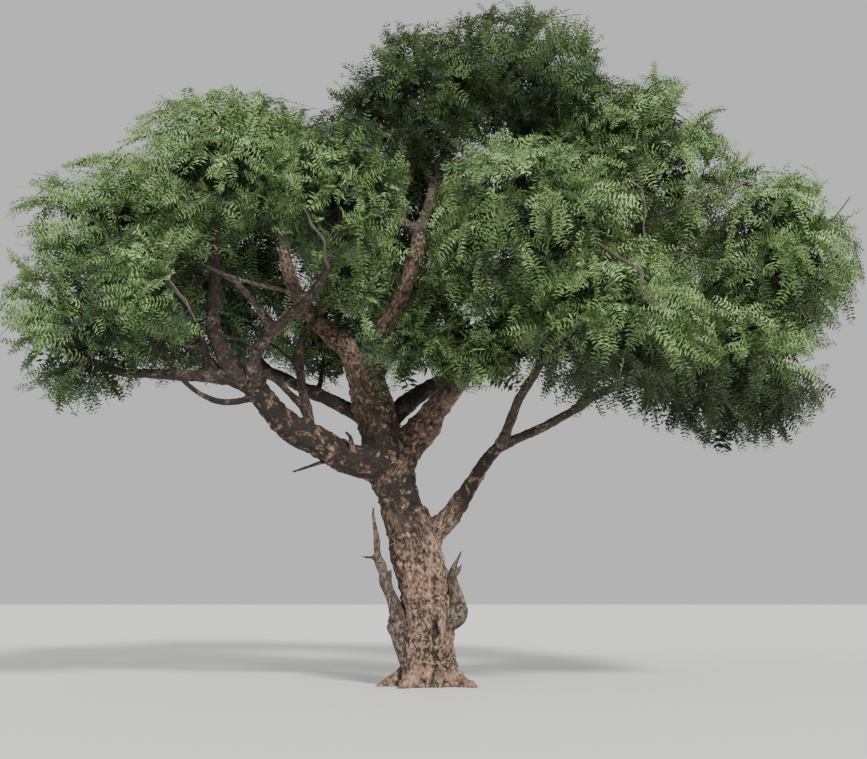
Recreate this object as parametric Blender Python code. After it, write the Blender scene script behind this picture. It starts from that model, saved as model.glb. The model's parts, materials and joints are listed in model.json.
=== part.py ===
"""A spreading acacia, about 11 m across and 9 m tall, as separate closed solids.

Each limb is one tapering solid, and each mass of foliage is one solid of twigs and leaf sprays.
Metres, +Z up, and the crown's widest span lies along X. The origin is the middle of the flat cut
under the trunk, at ground level.
"""

import math
import random
from collections import namedtuple

import bmesh
import bpy
from mathutils import Matrix, Vector

GAP = 0.0003  # clearance between a solid and the one that carries it
UP = Vector((0, 0, 1))

# A limb leaves its parent at a share of the parent's length and ends at its tip. Bow is how far its
# middle stands off the straight line between them, and sway how far its quarters do, to either side.
Limb = namedtuple("Limb", "name parent share tip radii bow sway", defaults=((0, 0, 0), (0, 0, 0)))

TRUNK_RADII = (0.33, 0.315, 0.345, 0.26, 0.27, 0.24)  # evenly spaced from the ground to the fork
TRUNK_SIDES = 24
TRUNK_ROWS = 12  # above the flare
FLARE_HEIGHTS = (0.0, 0.05, 0.12, 0.22, 0.35)
FLARE_TOP = 0.55
ROOTS = {185: 0.3, 232: 0.2, 338: 0.32, 290: 0.12, 48: 0.28, 120: 0.26}  # heading: reach past the trunk
ROOT_HALF_ANGLE = 15.0
FLUTES = ((3, 0.05, 0.9), (5, 0.03, -1.6))  # ridges round the trunk, depth, twist in radians a metre

LIMBS = (
    Limb("trunk", None, 0.0, (-0.78, 0.10, 3.94), TRUNK_RADII, (0.17, -0.06, 0.05), (0.07, 0, 0)),
    Limb("west_limb", "trunk", 0.73, (-2.28, -0.80, 3.99), (0.2, 0.2, 0.14), (-0.08, 0, -0.27)),
    Limb("leader", "trunk", 0.95, (-1.98, 0.60, 6.04), (0.2, 0.14, 0.1, 0.08),
         (-0.13, -0.07, -0.03), (0.09, 0, 0.05)),
    Limb("centre_limb", "trunk", 0.91, (-0.10, 0.20, 6.16), (0.15, 0.085), (-0.07, -0.26, 0.02),
         (-0.1, 0, 0)),
    Limb("east_mid_limb", "trunk", 0.70, (1.07, -0.90, 4.99), (0.27, 0.22, 0.12, 0.09, 0.07),
         (0.07, 0.35, 0.05), (-0.06, 0, 0)),
    Limb("east_low_limb", "trunk", 0.47, (1.03, -0.30, 3.22), (0.17, 0.14, 0.09, 0.075),
         (0.09, -0.02, -0.05), (0.02, 0.02, -0.04)),
    Limb("back_west_limb", "trunk", 0.84, (-2.72, 1.70, 4.81), (0.11, 0.05), (-0.08, -0.06, -0.05),
         (0, -0.04, 0.07)),
    Limb("back_centre_limb", "trunk", 0.88, (-0.48, 2.30, 5.81), (0.13, 0.055), (-0.1, 0.07, -0.06)),
    Limb("back_east_limb", "trunk", 0.86, (1.92, 2.00, 4.96), (0.14, 0.055), (0, 0.1, 0.2)),
    Limb("west_riser", "west_limb", 0.93, (-2.67, -1.50, 5.73), (0.12, 0.07), (-0.31, 0.08, -0.09),
         (-0.07, 0.02, -0.03)),
    Limb("west_low_limb", "west_limb", 0.95, (-4.57, -0.90, 4.30), (0.1, 0.04), (0, 0, -0.07),
         (0, 0.02, 0.08)),
    Limb("west_cross", "west_limb", 0.95, (-1.20, -1.80, 5.34), (0.09, 0.05), (-0.16, -0.03, 0),
         (-0.12, -0.03, 0.03)),
    Limb("inner_riser", "west_limb", 0.52, (-1.16, 0.30, 5.27), (0.075, 0.04), (-0.36, 0.06, 0.05),
         (0.06, 0, -0.02)),
    Limb("west_fan", "west_riser", 0.62, (-3.39, -0.90, 5.77), (0.055, 0.035), (0.04, -0.01, 0.04)),
    Limb("west_inner", "west_low_limb", 0.27, (-3.17, -1.40, 5.0), (0.05, 0.035), (0.12, -0.03, 0)),
    Limb("west_gnarl", "west_low_limb", 0.2, (-3.52, -0.95, 4.66), (0.045, 0.025), (0, 0.02, 0.08),
         (0.03, 0, 0.06)),
    Limb("west_low_loop", "west_limb", 0.9, (-3.53, -1.30, 4.47), (0.05, 0.025), (0, 0, -0.42)),
    Limb("west_brace", "west_cross", 0.45, (-2.73, -1.75, 5.28), (0.05, 0.03), (0, -0.05, 0.15)),
    Limb("west_twin", "west_cross", 0.75, (-2.50, -1.95, 5.16), (0.035, 0.022), (0, -0.05, -0.03)),
    Limb("west_hoop", "inner_riser", 0.2, (-2.30, -0.95, 4.10), (0.045, 0.035), (0, -0.1, 0.08)),
    Limb("inner_brace", "inner_riser", 0.45, (-2.21, 0.25, 4.62), (0.035, 0.02), (0, 0.03, 0.02)),
    Limb("back_mid_limb", "back_west_limb", 0.4, (-1.49, 1.20, 4.19), (0.05, 0.035), (0.02, 0, -0.03)),
    Limb("centre_front_limb", "centre_limb", 0.16, (-0.45, -0.60, 4.24), (0.05, 0.035), (0, 0, -0.04)),
    Limb("centre_left", "centre_limb", 0.95, (-0.18, 0.60, 7.37), (0.07, 0.045),
         (-0.2, -0.03, -0.09), (-0.09, -0.03, -0.03)),
    Limb("centre_right", "centre_limb", 0.96, (0.46, 0.90, 7.77), (0.075, 0.04), (-0.06, 0.05, 0),
         (0.03, -0.02, 0)),
    Limb("centre_east", "centre_right", 0.42, (1.38, 1.20, 7.29), (0.05, 0.04), (-0.05, 0.03, 0.08)),
    Limb("east_up", "east_low_limb", 0.93, (1.64, -1.30, 4.42), (0.075, 0.045), (-0.03, 0.06, 0.06)),
    Limb("east_out", "east_low_limb", 0.94, (3.01, -0.30, 4.04), (0.07, 0.04), (-0.03, 0, 0.04),
         (0.02, 0, -0.05)),
    Limb("east_far_limb", "east_out", 0.52, (3.70, -0.20, 5.22), (0.045, 0.035), (-0.11, 0.03, 0.13)),
    Limb("east_high_limb", "east_mid_limb", 0.74, (2.54, 0.50, 6.23), (0.065, 0.04), (-0.1, 0.01, 0.09)),
    Limb("centre_low_limb", "east_mid_limb", 0.44, (0.5, -0.75, 4.12), (0.05, 0.035)),
    Limb("west_stub", "west_limb", 0.26, (-1.74, -0.50, 2.79), (0.04, 0.018), (0, 0, 0.02)),
    Limb("dead_stem_west", "trunk", 0.07, (-0.71, -0.15, 2.33), (0.13, 0.11, 0.075, 0.045, 0.016),
         (-0.17, -0.06, 0)),
    Limb("dead_stem_east", "trunk", 0.15, (0.45, -0.10, 1.76), (0.1, 0.11, 0.06, 0.045, 0.016),
         (0.16, -0.05, 0), (0.12, 0, 0)),
)
LIMB_STEP = 0.4  # longest straight piece of a limb
THIN_LIMB = 0.08  # a limb no thicker than this has six sides and not eight
COLLAR = 0.3  # how much wider a limb is where it leaves its parent
COLLAR_LENGTH = 0.12
COLLAR_FIT = 0.95  # the collar is no wider than this share of its parent
CROOK = 0.25  # small crooks along a limb, as a share of its radius
LIMB_SAMPLES = 30  # places along a limb that foliage is kept clear of

# A mass of foliage fills an ellipsoid, less what lies past the planes it shares with its neighbours.
Mass = namedtuple("Mass", "name limb centre radii")

MASSES = (
    Mass("west_tip_foliage", "west_low_limb", (-4.5, -0.9, 4.65), (1.15, 1.3, 1.15)),
    Mass("west_shoulder_foliage", "west_fan", (-4.0, -0.7, 6.05), (1.45, 1.4, 0.95)),
    Mass("west_crown_foliage", "west_riser", (-2.52, -1.8, 6.56), (1.4, 1.5, 1.05)),
    Mass("west_inner_foliage", "west_inner", (-3.2, -1.9, 5.05), (1.15, 1.1, 0.8)),
    Mass("centre_west_foliage", "west_cross", (-1.1, -2.0, 6.15), (1.05, 1.25, 1.05)),
    Mass("leader_foliage", "leader", (-2.0, 1.0, 7.1), (1.6, 1.6, 1.05)),
    Mass("inner_foliage", "inner_riser", (-0.95, 0.1, 5.55), (0.75, 0.8, 0.8)),
    Mass("top_west_foliage", "centre_left", (-0.24, 0.6, 7.95), (1.3, 1.6, 1.15)),
    Mass("top_foliage", "centre_right", (1.24, 1.0, 8.4), (1.45, 1.7, 1.1)),
    Mass("top_east_foliage", "centre_east", (2.17, 1.3, 7.5), (1.25, 1.5, 1.15)),
    Mass("east_front_foliage", "east_mid_limb", (1.29, -1.7, 5.75), (1.5, 1.5, 1.3)),
    Mass("east_high_foliage", "east_high_limb", (3.1, 0.4, 6.95), (1.2, 1.5, 1.4)),
    Mass("east_far_foliage", "east_far_limb", (4.7, -0.2, 5.6), (1.2, 1.6, 1.3)),
    Mass("east_hem_foliage", "east_out", (4.05, -0.3, 4.15), (1.45, 1.6, 1.1)),
    Mass("east_low_foliage", "east_up", (2.3, -1.8, 4.55), (1.4, 1.3, 1.2)),
    Mass("centre_low_foliage", "centre_low_limb", (0.6, -1.2, 4.28), (0.75, 0.65, 0.55)),
    Mass("centre_front_foliage", "centre_front_limb", (-0.35, -1.05, 4.5), (0.6, 0.5, 0.5)),
    Mass("back_mid_foliage", "back_mid_limb", (-1.45, 1.6, 4.72), (0.95, 0.75, 0.6)),
    Mass("back_west_foliage", "back_west_limb", (-3.4, 2.4, 5.4), (1.65, 1.6, 1.3)),
    Mass("back_centre_foliage", "back_centre_limb", (-0.5, 3.1, 6.8), (1.85, 1.5, 1.45)),
    Mass("back_east_foliage", "back_east_limb", (2.9, 2.6, 5.7), (1.9, 1.7, 1.55)),
)
MASS_GAP = 0.04  # left clear along the plane between two masses
LIMB_CLEARANCE = 0.02  # left clear between foliage and any limb
STEM_STEPS = 4
STEM_END = 0.03  # radius where the stem gives out, at the heart of the mass
TIPS_PER_AREA = 0.36  # twig tips for each square metre of the ellipsoid
FEWEST_TIPS = 6
TIP_SHARES = (0.56, 0.42, 0.5)  # how far out the tips lie, taken in turn
GOLDEN_ANGLE = math.radians(137.508)
DETOUR_COST = 0.3  # how much the way back to the foot counts when a tip picks its branch
BRANCHING_SHARES = (0.4, 0.75)  # where a twig can carry others
TWIG_TAPER = 0.45
SPRAYS_PER_AREA = 0.72  # sprays for each square metre of the ellipsoid
FEWEST_SPRAYS = 10
SPRAY_SHARES = (0.35, 0.5, 0.65, 0.8, 0.97)  # where a twig can carry a spray
SPRAY_REACH = 0.97  # how far out a spray's tip lies, as a share of the ellipsoid
SPRAY_LENGTH = (0.85, 1.15)  # wanted on a mass a metre or more in radius
LONGEST_SPRAY = 1.4
SPRAY_WIDTH = 0.5  # share of its length
SPRAY_THICKNESS = 0.03
SPRAY_ROOM = 0.15  # least distance between the middles of two sprays

BARK_BROWN = (0.2, 0.145, 0.11, 1.0)
LEAF_GREEN = (0.075, 0.115, 0.04, 1.0)


def material(name, colour, roughness):
    made = bpy.data.materials.new(name)
    made.use_nodes = True
    shader = made.node_tree.nodes["Principled BSDF"]
    shader.inputs["Base Color"].default_value = colour
    shader.inputs["Roughness"].default_value = roughness
    made.diffuse_color = colour
    return made


def along(values, share):
    """The value at a share of the way along a few evenly spaced ones."""
    place = min(max(share, 0.0), 1.0) * (len(values) - 1)
    first = min(int(place), len(values) - 2)
    return values[first] + (values[first + 1] - values[first]) * (place - first)


def point_on(limbs, name, share):
    """The place at a share of a limb's length, on its centre line."""
    limb = limbs[name]
    start = point_on(limbs, limb.parent, limb.share) if limb.parent else Vector((0, 0, 0))
    line = start.lerp(Vector(limb.tip), share)
    bow = Vector(limb.bow) * math.sin(math.pi * share)
    sway = Vector(limb.sway) * math.sin(2 * math.pi * share)
    return line + bow + sway


def limb_line(limbs, name):
    """The centre line of a limb and its radius at each point."""
    limb = limbs[name]
    rough = [point_on(limbs, name, n / 8) for n in range(9)]
    length = sum((b - a).length for a, b in zip(rough, rough[1:]))
    steps = max(4, math.ceil(length / LIMB_STEP))
    collar = 0.0
    if limb.parent:
        room = COLLAR_FIT * along(limbs[limb.parent].radii, limb.share) / limb.radii[0] - 1
        collar = max(0.0, min(COLLAR, room))
    chance = random.Random(name)
    points = []
    radii = []
    for n in range(steps + 1):
        share = n / steps
        radius = along(limb.radii, share)
        crook = Vector([chance.uniform(-1, 1) for _ in range(3)]) * CROOK * radius
        points.append(point_on(limbs, name, share) + (crook if 0 < n < steps else Vector()))
        radii.append(radius * (1 + collar * math.exp(-share * length / COLLAR_LENGTH)))
    return points, radii


def mesh_object(name, mesh, collection=None):
    made = bpy.data.objects.new(name, mesh)
    (collection or bpy.context.scene.collection).objects.link(made)
    return made


def tube(name, points, radii, grown=0.0, resolution=2):
    """A tapering round limb as a mesh. Grown widens and lengthens it, for a cutter."""
    points = [p.copy() for p in points]
    points[0] += (points[0] - points[1]).normalized() * grown
    points[-1] += (points[-1] - points[-2]).normalized() * grown
    curve = bpy.data.curves.new(name, "CURVE")
    curve.dimensions = "3D"
    curve.bevel_depth = 1.0
    curve.bevel_resolution = resolution  # sides: twice this and four
    curve.use_fill_caps = True
    spline = curve.splines.new("POLY")
    spline.points.add(len(points) - 1)
    for slot, place, radius in zip(spline.points, points, radii):
        slot.co = (*place, 1.0)
        slot.radius = radius + grown
    drawn = mesh_object(name + "_line", curve)
    mesh = bpy.data.meshes.new_from_object(drawn.evaluated_get(bpy.context.evaluated_depsgraph_get()))
    bpy.data.objects.remove(drawn)
    shape = bmesh.new()
    shape.from_mesh(mesh)
    bmesh.ops.remove_doubles(shape, verts=shape.verts, dist=0.00001)
    bmesh.ops.recalc_face_normals(shape, faces=shape.faces)
    bmesh.ops.triangulate(shape, faces=shape.faces, quad_method="FIXED")
    shape.to_mesh(mesh)
    shape.free()
    return mesh_object(name, mesh)


def root_reach(angle):
    """How far the spreading roots stand out past the trunk at ground level, at an angle round it."""
    reach = 0.0
    for heading, length in ROOTS.items():
        off = (math.degrees(angle) - heading + 180) % 360 - 180
        reach = max(reach, length * math.exp(-((off / ROOT_HALF_ANGLE) ** 2)))
    return reach


def trunk_radius(share, height, angle):
    radius = along(TRUNK_RADII, share)
    for count, depth, twist in FLUTES:
        radius *= 1 + depth * math.cos(count * angle + twist * height)
    flare = max(0.0, 1 - height / FLARE_TOP)
    return radius * (1 + 0.18 * flare) + root_reach(angle) * flare**4


def trunk_mesh(limbs, name, grown=0.0):
    """The trunk as a loft: level rings at the ground that turn square to its line further up."""
    top = Vector(limbs["trunk"].tip).z
    shares = [height / top for height in FLARE_HEIGHTS]
    first = FLARE_TOP / top
    shares += [first + (1 - first) * n / TRUNK_ROWS for n in range(TRUNK_ROWS + 1)]
    shape = bmesh.new()
    rings = []
    for share in shares:
        centre = point_on(limbs, "trunk", share)
        ahead = point_on(limbs, "trunk", share + 0.01) - centre
        tilt = UP.lerp(ahead.normalized(), min(1.0, share * 3)).normalized()
        if share == shares[0]:
            centre.z = -grown
        if share == shares[-1]:
            centre += tilt * grown
        turn = UP.rotation_difference(tilt)
        ring = []
        for side in range(TRUNK_SIDES):
            angle = 2 * math.pi * side / TRUNK_SIDES
            radius = trunk_radius(share, centre.z, angle) + grown
            out = Vector((math.cos(angle), math.sin(angle), 0))
            ring.append(shape.verts.new(centre + turn @ out * radius))
        rings.append(ring)
    for low, high in zip(rings, rings[1:]):
        for side in range(TRUNK_SIDES):
            after = (side + 1) % TRUNK_SIDES
            shape.faces.new((low[side], low[after], high[after], high[side]))
    shape.faces.new(reversed(rings[0]))
    shape.faces.new(rings[-1])
    bmesh.ops.triangulate(shape, faces=shape.faces, quad_method="FIXED")
    mesh = bpy.data.meshes.new(name)
    shape.to_mesh(mesh)
    shape.free()
    return mesh_object(name, mesh)


def limb_object(limbs, name, grown=0.0):
    label = name + ("_cutter" if grown else "")
    if name == "trunk":
        return trunk_mesh(limbs, label, grown)
    points, radii = limb_line(limbs, name)
    return tube(label, points, radii, grown, 2 if max(limbs[name].radii) > THIN_LIMB else 1)


def corners(thing, margin=0.0):
    places = [thing.matrix_world @ Vector(corner) for corner in thing.bound_box]
    low = [min(p[axis] for p in places) - margin for axis in range(3)]
    high = [max(p[axis] for p in places) + margin for axis in range(3)]
    return low, high


def boxes_meet(one, other):
    (low, high), (other_low, other_high) = corners(one, GAP), corners(other, GAP)
    return all(low[n] < other_high[n] and other_low[n] < high[n] for n in range(3))


def finish(thing, look, collection):
    """Gives a made solid its material and moves it to the tree's collection."""
    thing.data.materials.clear()
    thing.data.materials.append(look)
    bpy.context.scene.collection.objects.unlink(thing)
    collection.objects.link(thing)


def apply_modifiers(thing):
    graph = bpy.context.evaluated_depsgraph_get()
    mesh = bpy.data.meshes.new_from_object(thing.evaluated_get(graph))
    thing.modifiers.clear()
    old = thing.data
    thing.data = mesh
    bpy.data.meshes.remove(old)


def keep_main_shell(thing):
    """Drops every shell but the largest: loose scraps, and the walls of sealed hollows."""
    shape = bmesh.new()
    shape.from_mesh(thing.data)
    bmesh.ops.triangulate(shape, faces=shape.faces)
    waiting = set(shape.faces)
    shells = []
    while waiting:
        edge_of_shell = [waiting.pop()]
        shell = list(edge_of_shell)
        while edge_of_shell:
            face = edge_of_shell.pop()
            for edge in face.edges:
                for other in edge.link_faces:
                    if other in waiting:
                        waiting.remove(other)
                        edge_of_shell.append(other)
                        shell.append(other)
        shells.append(shell)
    shells.sort(key=lambda shell: sum(face.calc_area() for face in shell))
    for shell in shells[:-1]:
        bmesh.ops.delete(shape, geom=shell, context="FACES")
    shape.to_mesh(thing.data)
    shape.free()
    return len(shells)


def cut_clear(thing, cutters):
    """Cuts a limb clear of the limbs made before it, with the gap that separate solids keep."""
    for cutter in cutters:
        if boxes_meet(thing, cutter):
            cut = thing.modifiers.new("clear_of_" + cutter.name, "BOOLEAN")
            cut.operation = "DIFFERENCE"
            cut.object = cutter
            cut.solver = "EXACT"
    apply_modifiers(thing)
    keep_main_shell(thing)


def shared_planes(mass):
    """The planes between a mass and the neighbours that its ellipsoid reaches into: normal, offset."""
    planes = []
    centre = Vector(mass.centre)
    for other in MASSES:
        if other is mass:
            continue
        apart = Vector(other.centre) - centre
        normal = apart.normalized()
        mine, theirs = (
            math.sqrt(sum((r * n) ** 2 for r, n in zip(m.radii, normal))) for m in (mass, other)
        )
        if mine + theirs > apart.length:
            planes.append((normal, normal.dot(centre) + apart.length * mine / (mine + theirs) - MASS_GAP / 2))
    return planes


def in_space(mass, planes, place):
    off = place - Vector(mass.centre)
    if sum((o / r) ** 2 for o, r in zip(off, mass.radii)) > 1:
        return False
    return all(normal.dot(place) < offset for normal, offset in planes)


def clear_of_limbs(limb_points, start, end, radius):
    """Whether a straight piece keeps clear of every limb."""
    steps = max(2, math.ceil((end - start).length / 0.08))
    for n in range(steps + 1):
        place = start.lerp(end, n / steps)
        for centre, limb_radius in limb_points:
            if (place - centre).length < limb_radius + radius + LIMB_CLEARANCE:
                return False
    return True


def stem_line(mass, foot, direction, first_radius):
    """The stem curves from the limb's tip to the heart of the mass, with a radius at each point."""
    heart = Vector(mass.centre)
    start = foot + direction * first_radius  # the first stretch is straight, so that the two ends meet flat
    bend = start + direction * (heart - start).length * 0.45
    shares = [n / STEM_STEPS for n in range(STEM_STEPS + 1)]
    points = [start.lerp(bend, s).lerp(bend.lerp(heart, s), s) for s in shares]
    return [foot] + points, [first_radius] + [first_radius + (STEM_END - first_radius) * s for s in shares]


def spread_inside(mass, planes, per_area, fewest, shares, seed):
    """Places spread evenly round the mass's middle, at the given shares of the way out in turn.

    One that lies past a shared plane is drawn in until it is inside.
    """
    chance = random.Random(mass.name + seed)
    centre = Vector(mass.centre)
    a, b, c = mass.radii
    count = max(fewest, round(per_area * 4 * math.pi * (a * b + a * c + b * c) / 3))
    places = []
    for n in range(count):
        height = 1 - (2 * n + 1) / count
        ring = math.sqrt(1 - height * height)
        angle = n * GOLDEN_ANGLE + chance.uniform(-0.2, 0.2)
        on_shell = Vector((a * ring * math.cos(angle), b * ring * math.sin(angle), c * height))
        off = on_shell * shares[n % len(shares)]
        while not in_space(mass, planes, centre + off):
            off *= 0.93
        places.append(centre + off)
    return places


def grow_twigs(mass, planes, limb_points, stem, radii):
    """A twig to each tip, the nearest first, from the place on what has grown that it reaches soonest.

    Returns the twigs as start, end and radius at the start.
    """
    nodes = []
    path = 0.0
    for before, place, radius in zip(stem, stem[1:], radii[1:]):
        path += (place - before).length
        nodes.append((place, radius, path))
    twigs = []
    tips = spread_inside(mass, planes, TIPS_PER_AREA, FEWEST_TIPS, TIP_SHARES, "_twigs")
    for tip in sorted(tips, key=lambda place: min((place - node[0]).length for node in nodes)):
        by_cost = sorted(nodes, key=lambda node: (tip - node[0]).length + DETOUR_COST * node[2])
        for place, radius, path in by_cost[:6]:
            length = (tip - place).length
            thick = min(radius * 0.6, 0.01 + 0.012 * length)
            if length > 0.2 and clear_of_limbs(limb_points, place, tip, thick):
                twigs.append((place, tip, thick))
                for share in BRANCHING_SHARES:
                    there = thick * (1 - (1 - TWIG_TAPER) * share)
                    nodes.append((place.lerp(tip, share), there, path + length * share))
                break
    return twigs


def spray_frame(root, tip, outward):
    """The matrix that lays a unit octahedron out as a thin spray, its flat side turned outward."""
    line = (tip - root).normalized()
    across = line.cross(outward).normalized()
    normal = line.cross(across)
    length = (tip - root).length
    size = Matrix.Diagonal((length / 2, length * SPRAY_WIDTH / 2, length * SPRAY_THICKNESS / 2, 1))
    return Matrix.Translation((root + tip) / 2) @ Matrix((line, across, normal)).transposed().to_4x4() @ size


def pierced(frame, start, end):
    """Whether a straight line pierces a spray's blade anywhere but at its root."""
    back = frame.inverted()
    start, end = back @ start, back @ end
    if start.z * end.z > 0:
        return False
    place = start.lerp(end, start.z / (start.z - end.z))
    return place.x > -0.85 and abs(place.x) + abs(place.y) < 1.1


def spray_clear(frame, limb_points):
    """Whether a spray's blade keeps clear of every limb."""
    back = frame.inverted()
    half = frame.to_scale()
    for centre, radius in limb_points:
        place = back @ centre
        room = radius + LIMB_CLEARANCE
        beside = abs(place.x) + abs(place.y) - 1 > room * math.hypot(1 / half.x, 1 / half.y)
        if not beside and (abs(place.z) - 1) * half.z < room:
            return False
    return True


def spray_frames(mass, planes, limb_points, stem, twigs):
    """Sprays that end evenly round the mass, each from a place on a twig a spray's length away.

    One that would leave the mass's space, meet a limb or cross another spray is left out.
    """
    chance = random.Random(mass.name + "_sprays")
    centre = Vector(mass.centre)
    size = min(1.0, sum(mass.radii) / 3)
    roots = [start.lerp(end, share) for start, end, _ in twigs for share in SPRAY_SHARES]
    wood = [(start, end) for start, end, _ in twigs] + list(zip(stem, stem[1:]))
    frames = []
    taken = []
    for tip in spread_inside(mass, planes, SPRAYS_PER_AREA, FEWEST_SPRAYS, (SPRAY_REACH,), "_sprays"):
        outward = (tip - centre).normalized()
        wanted = size * chance.uniform(*SPRAY_LENGTH)
        lean = Vector([chance.uniform(-0.5, 0.5) for _ in range(3)])
        for root in sorted(roots, key=lambda place: abs((tip - place).length - wanted)):
            if (tip - root).dot(outward) < 0.15 or (tip - root).length > LONGEST_SPRAY * size:
                continue
            frame = spray_frame(root, tip, outward + lean)
            outline = [frame @ Vector(p) for p in ((0, 1, 0), (0, -1, 0), (0, 0, 1), (0, 0, -1))]
            middles = [root.lerp(tip, s) for s in (0.35, 0.65, 0.95)]
            if (
                all(in_space(mass, planes, p) for p in outline)
                and all((p - q).length > SPRAY_ROOM * size for p in middles for q in taken)
                and not any(pierced(frame, start, end) for start, end in wood)
                and spray_clear(frame, limb_points)
            ):
                frames.append(frame)
                taken += middles
                roots.remove(root)
                break
    return frames


def twig_object(name, start, end, thick, roll, collection):
    """A straight three-sided twig that tapers to a flat tip."""
    shape = bmesh.new()
    line = end - start
    turn = line.to_track_quat("Z", "Y").to_matrix().to_4x4() @ Matrix.Rotation(roll, 4, "Z")
    bmesh.ops.create_cone(
        shape,
        cap_ends=True,
        segments=3,
        radius1=thick,
        radius2=thick * TWIG_TAPER,
        depth=line.length,
        matrix=Matrix.Translation((start + end) / 2) @ turn,
    )
    mesh = bpy.data.meshes.new(name)
    shape.to_mesh(mesh)
    shape.free()
    return mesh_object(name, mesh, collection)


def spray_object(name, frame, collection):
    shape = bmesh.new()
    bmesh.ops.create_uvsphere(shape, u_segments=4, v_segments=2, radius=1.0, matrix=frame)
    mesh = bpy.data.meshes.new(name)
    shape.to_mesh(mesh)
    shape.free()
    return mesh_object(name, mesh, collection)


def mass_object(limbs, limb_points, mass):
    """One mass of foliage: its stem, with its twigs and sprays joined on by one union."""
    planes = shared_planes(mass)
    line, limb_radii = limb_line(limbs, mass.limb)
    direction = (line[-1] - line[-2]).normalized()
    foot = line[-1] + direction * GAP
    points, radii = stem_line(mass, foot, direction, limb_radii[-1] * 0.9)
    twigs = grow_twigs(mass, planes, limb_points, points, radii)
    frames = spray_frames(mass, planes, limb_points, points, twigs)
    growth = bpy.data.collections.new(mass.name + "_growth")
    bpy.context.scene.collection.children.link(growth)
    stem = tube(mass.name, points, radii, 0.0, 1)
    chance = random.Random(mass.name + "_rolls")
    for n, (start, end, thick) in enumerate(twigs):
        twig_object(f"{mass.name}_twig{n}", start, end, thick, chance.uniform(0, 2), growth)
    for n, frame in enumerate(frames):
        spray_object(f"{mass.name}_spray{n}", frame, growth)
    join = stem.modifiers.new("growth", "BOOLEAN")
    join.operation = "UNION"
    join.operand_type = "COLLECTION"
    join.collection = growth
    join.solver = "MANIFOLD"
    apply_modifiers(stem)
    for grown in list(growth.objects):
        bpy.data.objects.remove(grown)
    bpy.data.collections.remove(growth)
    scraps = keep_main_shell(stem) - 1
    print(f"{mass.name}: {len(twigs)} twigs, {len(frames)} sprays, {scraps} scraps")
    return stem


def main():
    for thing in list(bpy.data.objects):
        bpy.data.objects.remove(thing)
    bark = material("bark", BARK_BROWN, 0.9)
    leaf = material("leaf", LEAF_GREEN, 0.6)
    tree = bpy.data.collections.new("acacia_tree")
    bpy.context.scene.collection.children.link(tree)
    limbs = {limb.name: limb for limb in LIMBS}
    limb_points = []
    cutters = []
    for limb in LIMBS:
        made = limb_object(limbs, limb.name)
        cut_clear(made, cutters)
        finish(made, bark, tree)
        cutters.append(limb_object(limbs, limb.name, GAP))
        line, radii = limb_line(limbs, limb.name)
        for n in range(LIMB_SAMPLES + 1):
            share = n / LIMB_SAMPLES
            limb_points.append((along(line, share), along(radii, share)))
    for cutter in cutters:
        bpy.data.objects.remove(cutter)
    for mass in MASSES:
        finish(mass_object(limbs, limb_points, mass), leaf, tree)


main()
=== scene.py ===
import json
import math
import random
from collections import namedtuple

import bmesh
import bpy
import numpy as np
from mathutils import Matrix, Vector, noise
from mathutils.kdtree import KDTree

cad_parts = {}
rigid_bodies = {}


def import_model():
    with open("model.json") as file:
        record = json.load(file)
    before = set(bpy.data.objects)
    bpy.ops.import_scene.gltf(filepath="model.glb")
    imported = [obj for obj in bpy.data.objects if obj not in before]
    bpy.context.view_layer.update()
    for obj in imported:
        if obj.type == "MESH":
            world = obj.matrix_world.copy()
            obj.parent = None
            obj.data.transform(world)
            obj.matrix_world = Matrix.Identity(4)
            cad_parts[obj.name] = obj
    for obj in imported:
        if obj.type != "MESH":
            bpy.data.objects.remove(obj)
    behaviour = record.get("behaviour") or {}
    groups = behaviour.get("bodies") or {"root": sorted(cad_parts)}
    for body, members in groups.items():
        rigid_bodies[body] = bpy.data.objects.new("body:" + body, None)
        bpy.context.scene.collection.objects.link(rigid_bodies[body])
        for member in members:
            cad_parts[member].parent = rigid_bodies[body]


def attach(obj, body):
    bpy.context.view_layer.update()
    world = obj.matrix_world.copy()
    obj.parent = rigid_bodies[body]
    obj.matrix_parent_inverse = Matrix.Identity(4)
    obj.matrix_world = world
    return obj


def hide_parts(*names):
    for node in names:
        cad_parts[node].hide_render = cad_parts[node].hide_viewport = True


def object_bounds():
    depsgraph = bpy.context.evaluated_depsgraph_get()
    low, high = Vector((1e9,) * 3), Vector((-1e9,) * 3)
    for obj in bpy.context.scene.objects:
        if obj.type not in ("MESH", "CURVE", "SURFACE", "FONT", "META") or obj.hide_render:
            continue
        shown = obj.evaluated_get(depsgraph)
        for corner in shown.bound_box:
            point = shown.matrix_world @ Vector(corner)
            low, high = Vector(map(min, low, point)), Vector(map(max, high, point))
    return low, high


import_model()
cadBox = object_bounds()

noiseSeed = 1  # without one, the offsets of noise_vector come from the clock and the wood differs each run
noise.seed_set(noiseSeed)

# A limb leaves its parent at a share of the parent's length and ends at its tip. Bow is how far its
# middle stands off the straight line, and sway how far its quarters do, to either side.
Limb = namedtuple("Limb", "name parent share tip radii bow sway", defaults=((0, 0, 0), (0, 0, 0)))

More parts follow.
